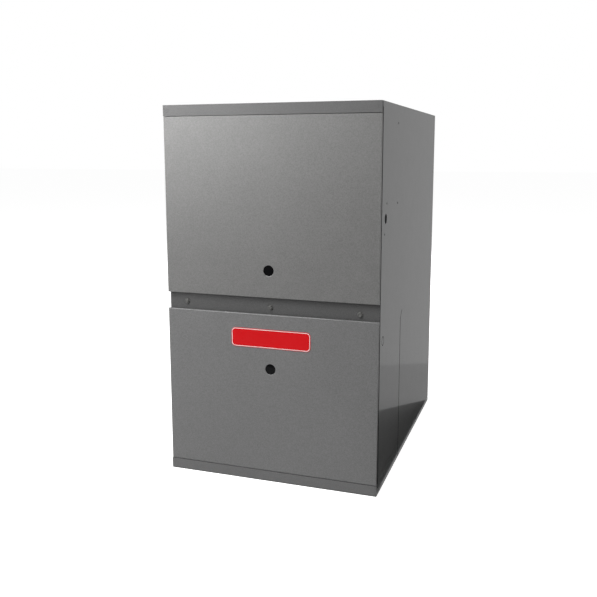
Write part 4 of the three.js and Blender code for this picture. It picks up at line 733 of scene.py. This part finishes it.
def blower_motor():
    """A can with two pressed end bells, the nuts of its four through bolts, and painted shade for slots in
    both ends.
    """
    motor = bmesh.new()
    profile = ((0, -160.5), (20, -160.5), (22, -159), (24, -156.6), (50, -156), (60, -153.5), (66, -148),
               (68.4, -145.2), (69.4, -144.6), (70, -144), (70, -37), (69.4, -36.4), (68.4, -35.8),
               (66, -33), (60, -27.5), (50, -25), (24, -24.4), (20, -22), (18, -20.6), (6.85, -20.5),
               (6.85, -29.4), (0, -29.4))
    add_turned(motor, profile, "x", BLOWER_AXIS, 72)
    bolt_circle, nut = 54 * MM, ((0, -158.6), (3, -158.6), (3.4, -158), (3.4, -153), (0, -153))
    for k in range(4):
        a = math.pi / 4 + k * math.pi / 2
        y, z = BLOWER_AXIS[1] + bolt_circle * math.cos(a), BLOWER_AXIS[2] + bolt_circle * math.sin(a)
        add_turned(motor, nut, "x", (0, y, z), 6)
    finished("blower_motor_body", motor, black_enamel, "cabinet", ["blower_motor"])
    # Near-black patches on both end bells: painted shade for the vent slots.
    vents = bmesh.new()
    _, y, z = BLOWER_AXIS
    for x in (-156.7 * MM, -26.3 * MM):
        for k in range(16):
            low, high = (x, y - 2.8 * MM, z + 28 * MM), (x + 2 * MM, y + 2.8 * MM, z + 47 * MM)
            add_box(vents, low, high, 0.4 * MM, 1, spun(BLOWER_AXIS, "X", k * math.pi / 8))
    finished("blower_motor_vents", vents, rubber)


# ---- Controls ----


def control_board():
    """The control board: laminate, then relays, chip, fuse, terminals and connectors in their places."""
    box = Box("control_board")
    half_wide, half_high = (box.high.x - box.low.x) / 2, (box.high.z - box.low.z) / 2
    laminate_front = box.high.y - 1.8 * MM
    seat = laminate_front + 0.1 * MM
    board = bmesh.new()
    add_box(board, (box.low.x, laminate_front, box.low.z), box.high, 0.3 * MM, 1)
    finished("control_board_laminate", board, board_green, "cabinet", ["control_board"])
    parts = {}

    def at(u, v):
        """X and Z of a place on the board, with u and v from -1 to 1 across it."""
        return box.middle.x + u * half_wide, box.middle.z + v * half_high

    def case(kind, u, v, width, height, rise, bevel=0.8):
        """A box of a kind standing on the board, in millimetres."""
        bm = parts.setdefault(kind, bmesh.new())
        x, z = at(u, v)
        across, up = width / 2 * MM, height / 2 * MM
        add_box(bm, (x - across, seat - rise * MM, z - up), (x + across, seat, z + up), bevel * MM)

    def can(u, v, radius, rise):
        """A round capacitor standing on the board, in millimetres."""
        bm = parts.setdefault("plastic", bmesh.new())
        x, z = at(u, v)
        profile = ((0, -rise), (radius * 0.9, -rise), (radius, 0.6 - rise), (radius, 0), (0, 0))
        add_turned(bm, profile, "y", (x, seat, z), 24)

    for u in (-0.59, -0.295):
        case("relay", u, 0.47, 25, 21.5, 19.8)
    case("plastic", 0.016, 0.5, 21.5, 17.5, 15.8)
    case("plastic", -0.56, -0.04, 17.5, 17.5, 14.8)
    case("plastic", -0.164, -0.1, 23, 23.5, 2.2, 0.4)
    case("nylon", 0.37, 0.53, 44, 11.5, 10.5)
    case("nylon", 0.41, -0.617, 52, 12.5, 14.5)
    case("fuse", 0.246, 0, 4.5, 19, 8.8)
    case("nylon", -0.37, -0.617, 60, 11.5, 12.5)
    for v in (-0.26, -0.09, 0.08):
        can(0.59, v, 4.2, 11.8)
    for k in range(7):
        case("metal", -0.37 + (k - 3) * 0.092, -0.617, 4.8, 4.8, 13.8, 0.6)
    for k in range(9):
        case("metal", 0.41 + (k - 4) * 0.06, -0.617, 1.6, 6, 15.2, 0.2)
    for k in range(6):
        case("metal", 0.37 + (k - 2.5) * 0.075, 0.53, 0.8, 6, 11.8, 0)
    for k in range(12):
        for v in (-0.36, 0.16):
            case("metal", -0.164 + (k - 5.5) * 0.02, v, 0.6, 3, 0.8, 0)
    chips = ((0.75, 0.45), (0.75, 0.2), (0.05, 0.05), (0.05, -0.2), (-0.75, 0.1), (0.36, 0.12), (0.36, -0.15))
    for u, v in chips:
        case("tape", u, v, 6.6, 2.4, 2.4, 0.6)
    case("lamp", 0.75, 0.72, 3, 3, 4.5)
    finishes = {"relay": relay_blue, "plastic": plastic, "nylon": nylon, "fuse": fuse_violet, "metal": zinc,
                "tape": tape, "lamp": signal_red}
    for kind, bm in parts.items():
        finished(f"control_board_{kind}", bm, finishes[kind])
    posts, post = bmesh.new(), ((0, 107.8), (2.2, 107.8), (3, 109), (3, 119.6), (0, 119.6))
    for u in (-0.92, 0.92):
        for v in (-0.86, 0.86):
            x, z = at(u, v)
            add_turned(posts, post, "y", (x, FRONT, z), 16)
    finished("control_board_posts", posts, nylon)


def transformer():
    """A stack of laminations on a foot plate, round a taped winding with four terminals."""
    box = Box("transformer")
    x, z = box.middle.x, box.middle.z
    half_core, half_window, sheet, pitch = 21 * MM, 16 * MM, 3.1 * MM, 3.42 * MM
    core = bmesh.new()
    for k in range(14):
        y = box.low.y + 0.5 * MM + k * pitch
        add_box(core, (x - half_core, y, box.low.z), (x + half_core, y + sheet, box.high.z), 0.2 * MM, 1)
    foot = box.high.y - 1.8 * MM
    add_box(core, (box.low.x, foot, z - half_window), (box.high.x, box.high.y, z + half_window), 0.6 * MM)
    finished("transformer_core", core, aluminised, "cabinet", ["transformer"])
    winding = bmesh.new()
    across, up = 26.5 * MM, 17.5 * MM
    add_box(winding, (x - across, back(81), z - up), (x + across, back(110.5), z + up), 4 * MM, 3)
    finished("transformer_winding", winding, tape)
    terminals = bmesh.new()
    for k in range(4):
        left = x + (7 * k - 12) * MM
        low, high = (left, back(79.4), z - 5 * MM), (left + 4.5 * MM, back(81.2), z + 5 * MM)
        add_box(terminals, low, high, 0.3 * MM, 1)
    finished("transformer_terminals", terminals, copper)


def run_capacitor():
    """A can with a seamed lid and two pairs of blades. Distances in profiles are heights."""
    box = Box("run_capacitor")
    x, y = box.middle.x, box.middle.y
    can = bmesh.new()
    profile = ((0, 303), (18.6, 303), (19.8, 303.6), (20, 305), (19.5, 306), (19.5, 373.6), (20, 374.6),
               (20, 376.4), (19.2, 377), (18.4, 376.2), (17.6, 375.4), (0, 375.4))
    add_turned(can, profile, "z", (x, y, 0), 48)
    finished("run_capacitor_can", can, zinc, "cabinet", ["run_capacitor"])
    blades, foot, tip = bmesh.new(), 375.2 * MM, 385.8 * MM
    for blade_x in (x - 8 * MM, x + 8 * MM):
        for blade_y in (y - 3.5 * MM, y + 1.5 * MM):
            high = (blade_x + 0.8 * MM, blade_y + 2.2 * MM, tip)
            add_box(blades, (blade_x - 0.8 * MM, blade_y, foot), high, 0.2 * MM, 1)
        add_turned(blades, ((0, 375.2), (4.6, 375.2), (4.2, 377), (0, 377)), "z", (blade_x, y, 0), 20)
    finished("run_capacitor_terminals", blades, copper)


# ---- Wires ----

WIRE_COLOURS = {
    "black": (0.02, 0.02, 0.02), "white": (0.7, 0.7, 0.68), "red": (0.5, 0.02, 0.02),
    "blue": (0.03, 0.09, 0.42), "yellow": (0.62, 0.48, 0.03), "brown": (0.16, 0.06, 0.025),
}


def finely(points, step):
    """The points of a line with more between them, about a step apart."""
    fine = [points[0]]
    for first, second in zip(points, points[1:]):
        pieces = max(1, round((second - first).length / step))
        fine += [first.lerp(second, k / pieces) for k in range(1, pieces + 1)]
    return fine


def twisted(route, offset, start, pitch):
    """A line that winds round a route at an offset."""
    points = []
    travelled = 0.0
    before = route[0]
    for point, across, other in travelling_frames(route):
        travelled += (point - before).length
        before = point
        turn = start + 2 * math.pi * travelled / pitch
        points.append(point + (across * math.cos(turn) + other * math.sin(turn)) * offset)
    return points


def wiring_harness():
    """Six twisted wires from the control board up to the inducer's motor, with their ties."""
    box = Box("wiring_harness")
    bundle = 5.7 * MM
    low, high = box.low + Vector((bundle,) * 3), box.high - Vector((bundle,) * 3)
    board_edge = Box("control_board").high.x + 0.3 * MM
    motor_side = box.low.x + 0.5 * MM
    corners = [(board_edge, low.y, low.z), (high.x, low.y, low.z), (high.x, low.y, high.z),
               (high.x, high.y, high.z), (motor_side, high.y, high.z)]
    route = finely(rounded(corners, 2 * bundle, 6), 6 * MM)
    for index, (colour, value) in enumerate(WIRE_COLOURS.items()):
        wire = bmesh.new()
        add_tube(wire, twisted(route, 3.7 * MM, index * math.pi / 3, 0.22), 1.8 * MM, 10)
        cover = moulded(f"wire_{colour}", value, (0.35, 0.48), (700, 0.03), 0.05)
        stands_for = () if index else ["wiring_harness"]
        finished(f"harness_wire_{colour}", wire, cover, "cabinet", stands_for)
    ties, tie = bmesh.new(), ((5.2, -1.3), (5.7, -1.3), (5.7, 1.3), (5.2, 1.3))
    for z in (0.31, 0.36, 0.41, 0.47, 0.53, 0.59, 0.65, 0.71):
        add_turned(ties, tie, "z", (high.x, low.y, z), 20, True)
    finished("harness_ties", ties, rubber)


# ---- Marks on the right side, partly painted shade, and the painted shadow beside the doors ----


def side_marks():
    """Painted shade along the return cut-out's scored line and the knock-out's ring, and four fasteners."""
    door_top = Box("lower_door").high.z
    line_depth, line_top, chamfer = 238.3, door_top - 20.5 * MM, 17.9
    route = ((line_depth, 2.2 * MM), (line_depth, line_top - chamfer * MM), (line_depth + chamfer, line_top))
    # A near-black strip laid along the scored line: painted shade for its groove.
    cut_line = bmesh.new()
    strips = [
        [cut_line.verts.new((HALF + rise * MM, back(depth + shift), z)) for depth, z in route]
        for shift, rise in ((-0.5, 0.02), (0, 0.06), (3, 0.06), (3.5, 0.02))
    ]
    for first, second in zip(strips, strips[1:]):
        for k in range(2):
            cut_line.faces.new((first[k], first[k + 1], second[k + 1], second[k]))
    finished("return_cut_painted_shade", cut_line, painted_shade)
    # A near-black ring on the knock-out's score: painted shade for its groove.
    score = bmesh.new()
    add_turned(score, ((8.8, -0.075), (8.8, 0.045), (10.6, 0.045), (10.6, -0.075)), "x",
               (HALF, back(41), door_top - 50 * MM), 32, True)
    finished("knockout_score_painted_shade", score, painted_shade)
    fasteners = bmesh.new()
    for depth, height in ((61, 658), (42, 591), (178, 652), (173, 835.5)):
        add_turned(fasteners, ((0, 0.725), (1.4, 0.725), (2.3, 0.425), (2.5, -0.075), (0, -0.075)), "x",
                   (HALF, back(depth), height * MM), 16)
    finished("side_pan_screws", fasteners, black_enamel)


def door_gap_painted_shadow():
    """A near-black strip on the front flange of each side panel: painted shade that darkens the gap beside
    the doors.
    """
    shadow_strips = bmesh.new()
    flange = Box("right_side_panel").low.y
    bottom, top = Box("lower_door").low.z + 0.8 * MM, Box("upper_door").high.z - 0.3 * MM
    outer, inner = HALF - 0.1 * MM, HALF - 6.2 * MM
    for low_x, high_x in ((-outer, -inner), (inner, outer)):
        add_box(shadow_strips, (low_x, flange - 0.15 * MM, bottom), (high_x, flange + 0.05 * MM, top))
    finished("door_side_painted_shadow", shadow_strips, painted_shade)


# ---- All pieces. CAD nodes that keep their shape: material, bevel of the edges in millimetres ----

KEPT_NODES = {
    "left_side_panel": (paint_side, 0.3), "right_side_panel": (paint_side, 0.3),
    "back_panel": (paint_back, 0.4), "top_vent_panel": (paint_back, 0.4),
    "top_front_rail": (paint_top_rail, 0.4), "base_front_rail": (paint_rail, 0.4),
    "door_divider_strip": (strip_paint_and_shade, 0.3), "bottom_panel": (galvanised, 0),
    "blower_deck": (galvanised, 0.4), "vestibule_panel": (galvanised, 0.3),
    "burner_bracket": (galvanised, 0.4), "collector_box": (aluminised, 2),
    "blower_housing": (galvanised, 0), "blower_motor_mount": (galvanised, 0.4),
    "control_bracket": (galvanised, 0.4), "junction_box": (galvanised, 0.8),
    "inducer_housing": (black_enamel, 1.2), "inducer_wheel": (galvanised, 0),
    "inducer_cooling_fan": (plastic, 0.3), "cabinet_liner": (foil, 0),
    "gas_manifold": (black_enamel, 0), "gas_valve_body": (casting, 1.6),
    "hot_surface_igniter": (ceramic, 0), "flame_sensor": (ceramic, 0),
    "rollout_switch": (plastic, 0.4), "rollout_reset_button": (signal_red, 0),
    "high_limit_switch": (zinc, 0.4), "harness_grommet": (rubber, 0.6),
    "door_switch": (plastic, 0.6), "door_switch_plunger": (signal_red, 0.5),
}

door_skin("upper", paint_upper_door)
door_skin("lower", paint)
badge()
for side in ("left", "centre", "right"):
    strip_screw(side)
for side in ("left", "right"):
    rail_screw(side)
for node, (material, soft_edge) in KEPT_NODES.items():
    dress(node, material, soft_edge)
for number in range(1, 5):
    heat_tube(number)
    inshot_burner(number)
vent_collar()
inducer_motor()
pressure_switch()
gas_knob()
gas_valve_fittings()
blower_wheel()
blower_shaft()
blower_motor()
control_board()
transformer()
run_capacitor()
wiring_harness()
side_marks()
door_gap_painted_shadow()

# ---- Camera, light and floor ----

# The photo's camera, solved from the cabinet's corners. Pixels are the photo's own
PHOTO_SIDE, FOCAL_PIXELS, CENTRE_ACROSS, CENTRE_DOWN = 597, 746.785, 299.56, 270.30
AZIMUTH, ELEVATION, ROLL = math.radians(18.868), math.radians(8.916), math.radians(-0.0563)
CAMERA_PLACE = (0.60683, -1.91227, 0.76719)


def linked(name, data):
    """An object of some data, in the scene."""
    made = bpy.data.objects.new(name, data)
    bpy.context.scene.collection.objects.link(made)
    return made


def photo_camera():
    data = bpy.data.cameras.new("photo_camera")
    data.sensor_width = 36
    data.lens = FOCAL_PIXELS / PHOTO_SIDE * data.sensor_width
    data.shift_x = 0.5 - CENTRE_ACROSS / PHOTO_SIDE
    data.shift_y = CENTRE_DOWN / PHOTO_SIDE - 0.5
    camera = linked("photo_camera", data)
    camera.location = CAMERA_PLACE
    turned = Euler((math.pi / 2 - ELEVATION, 0, AZIMUTH)).to_matrix() @ Matrix.Rotation(ROLL, 3, "Z")
    camera.rotation_euler = turned.to_euler()
    bpy.context.scene.camera = camera


def reflected_card(name, corners, strength):
    """A flat card of the studio that is seen in reflections alone."""
    mesh = bpy.data.meshes.new(name)
    mesh.from_pydata(corners, [], [tuple(range(len(corners)))])
    s = Surface(name, Roughness=1.0, Base_Color=(0, 0, 0, 1), Specular_IOR_Level=0,
                Emission_Color=(1, 1, 1, 1), Emission_Strength=strength)
    mesh.materials.append(s.material)
    made = linked(name, mesh)
    made.visible_camera = made.visible_diffuse = made.visible_shadow = made.visible_transmission = False


def area(name, place, aim, size, power, size_y=None, diffuse=1.0, gloss=1.0):
    """A soft box at a place, turned to its aim. With no gloss it isn't seen in reflections."""
    data = bpy.data.lights.new(name, "AREA")
    data.shape, data.size, data.size_y = "RECTANGLE", size, size_y or size
    data.energy, data.diffuse_factor, data.specular_factor = power, diffuse, gloss
    light = linked(name, data)
    light.location = place
    light.rotation_euler = (Vector(aim) - Vector(place)).to_track_quat("-Z", "Y").to_euler()
    light.visible_glossy = gloss > 0


def world_light():
    """White to the camera, a grey in reflections and through glass, and a dim ambient light."""
    world = bpy.data.worlds.new("studio")
    bpy.context.scene.world = world
    world.use_nodes = True
    tree = world.node_tree
    tree.nodes.clear()

    def background(strength):
        made = tree.nodes.new("ShaderNodeBackground")
        made.inputs["Color"].default_value = (1, 1, 1, 1)
        made.inputs["Strength"].default_value = strength
        return made.outputs[0]

    def either(factor, first, second):
        made = tree.nodes.new("ShaderNodeMixShader")
        for socket, source in zip(made.inputs, (factor, first, second)):
            tree.links.new(source, socket)
        return made.outputs[0]

    path = tree.nodes.new("ShaderNodeLightPath")
    mirrored = tree.nodes.new("ShaderNodeMath")
    mirrored.operation = "MAXIMUM"
    tree.links.new(path.outputs["Is Glossy Ray"], mirrored.inputs[0])
    tree.links.new(path.outputs["Is Transmission Ray"], mirrored.inputs[1])
    ambient, reflected = 0.112, 0.448
    unseen = either(mirrored.outputs[0], background(ambient), background(reflected))
    out = tree.nodes.new("ShaderNodeOutputWorld")
    tree.links.new(either(path.outputs["Is Camera Ray"], unseen, background(1.0)), out.inputs["Surface"])


def floor():
    """A pale floor that goes to white for the camera, with the object's soft shadow on it."""
    reach = 30
    mesh = bpy.data.meshes.new("floor")
    mesh.from_pydata([(-reach, -reach, 0), (reach, -reach, 0), (reach, reach, 0), (-reach, reach, 0)], [],
                     [(0, 1, 2, 3)])
    s = Surface("floor_white", Roughness=1.0, Specular_IOR_Level=0, Emission_Color=(1, 1, 1, 1))
    seen = s.node("ShaderNodeLightPath").outputs["Is Camera Ray"]
    s.colour(s.blend(seen, (0.45, 0.45, 0.45), (0.92, 0.92, 0.92)))
    s.link(s.range(seen, 0, 0.88, 0, 1), s.shader.inputs["Emission Strength"])
    mesh.materials.append(s.material)
    made = linked("floor", mesh)
    made.visible_glossy = False


photo_camera()
world_light()
floor()
area("overhead_soft_box", (-0.95, -1.95, 2.65), (0, -0.3, 0.45), 1.3, 62, gloss=0.3)
area("left_soft_box", (-2.15, -2.7, 1.62), (-2.15, 0, 1.62), 2.2, 73, 1.7, diffuse=0.1)
area("back_fill", (-0.3, 3.2, 2.0), (0, 0.3, 0.4), 1.8, 75, gloss=0.0)
area("right_fill", (2.8, 0.3, 1.5), (0.26, 0, 0.4), 1.6, 14, gloss=0.0)
LAID = 1 * MM  # height of the cards that lie on the floor
reflected_card("dark_floor_reflection",
               [(0.262, 0.349, LAID), (0.262, -3, LAID), (4, -3, LAID), (4, -4.16, LAID)], 0.0)
reflected_card("mid_floor_reflection",
               [(0.262, 0.349, LAID), (4, -4.16, LAID), (4, -1.177, LAID), (0.262, 0.8, LAID)], 0.33)
reflected_card("front_reflection", [(-4, -3.3, -4), (5, -3.3, -4), (5, -3.3, 4), (-4, -3.3, 4)], 0.16)
reflected_card("right_reflection", [(3.4, -6, -1), (3.4, 2.4, -1), (3.4, 2.4, 4), (3.4, -6, 4)], 1.2)
reflected_card("front_floor_reflection",
               [(-1.2, -1.5, LAID), (0.25, -1.5, LAID), (0.25, -0.36, LAID), (-1.2, -0.36, LAID)], 0.5)

bpy.context.scene.view_settings.view_transform = "Standard"
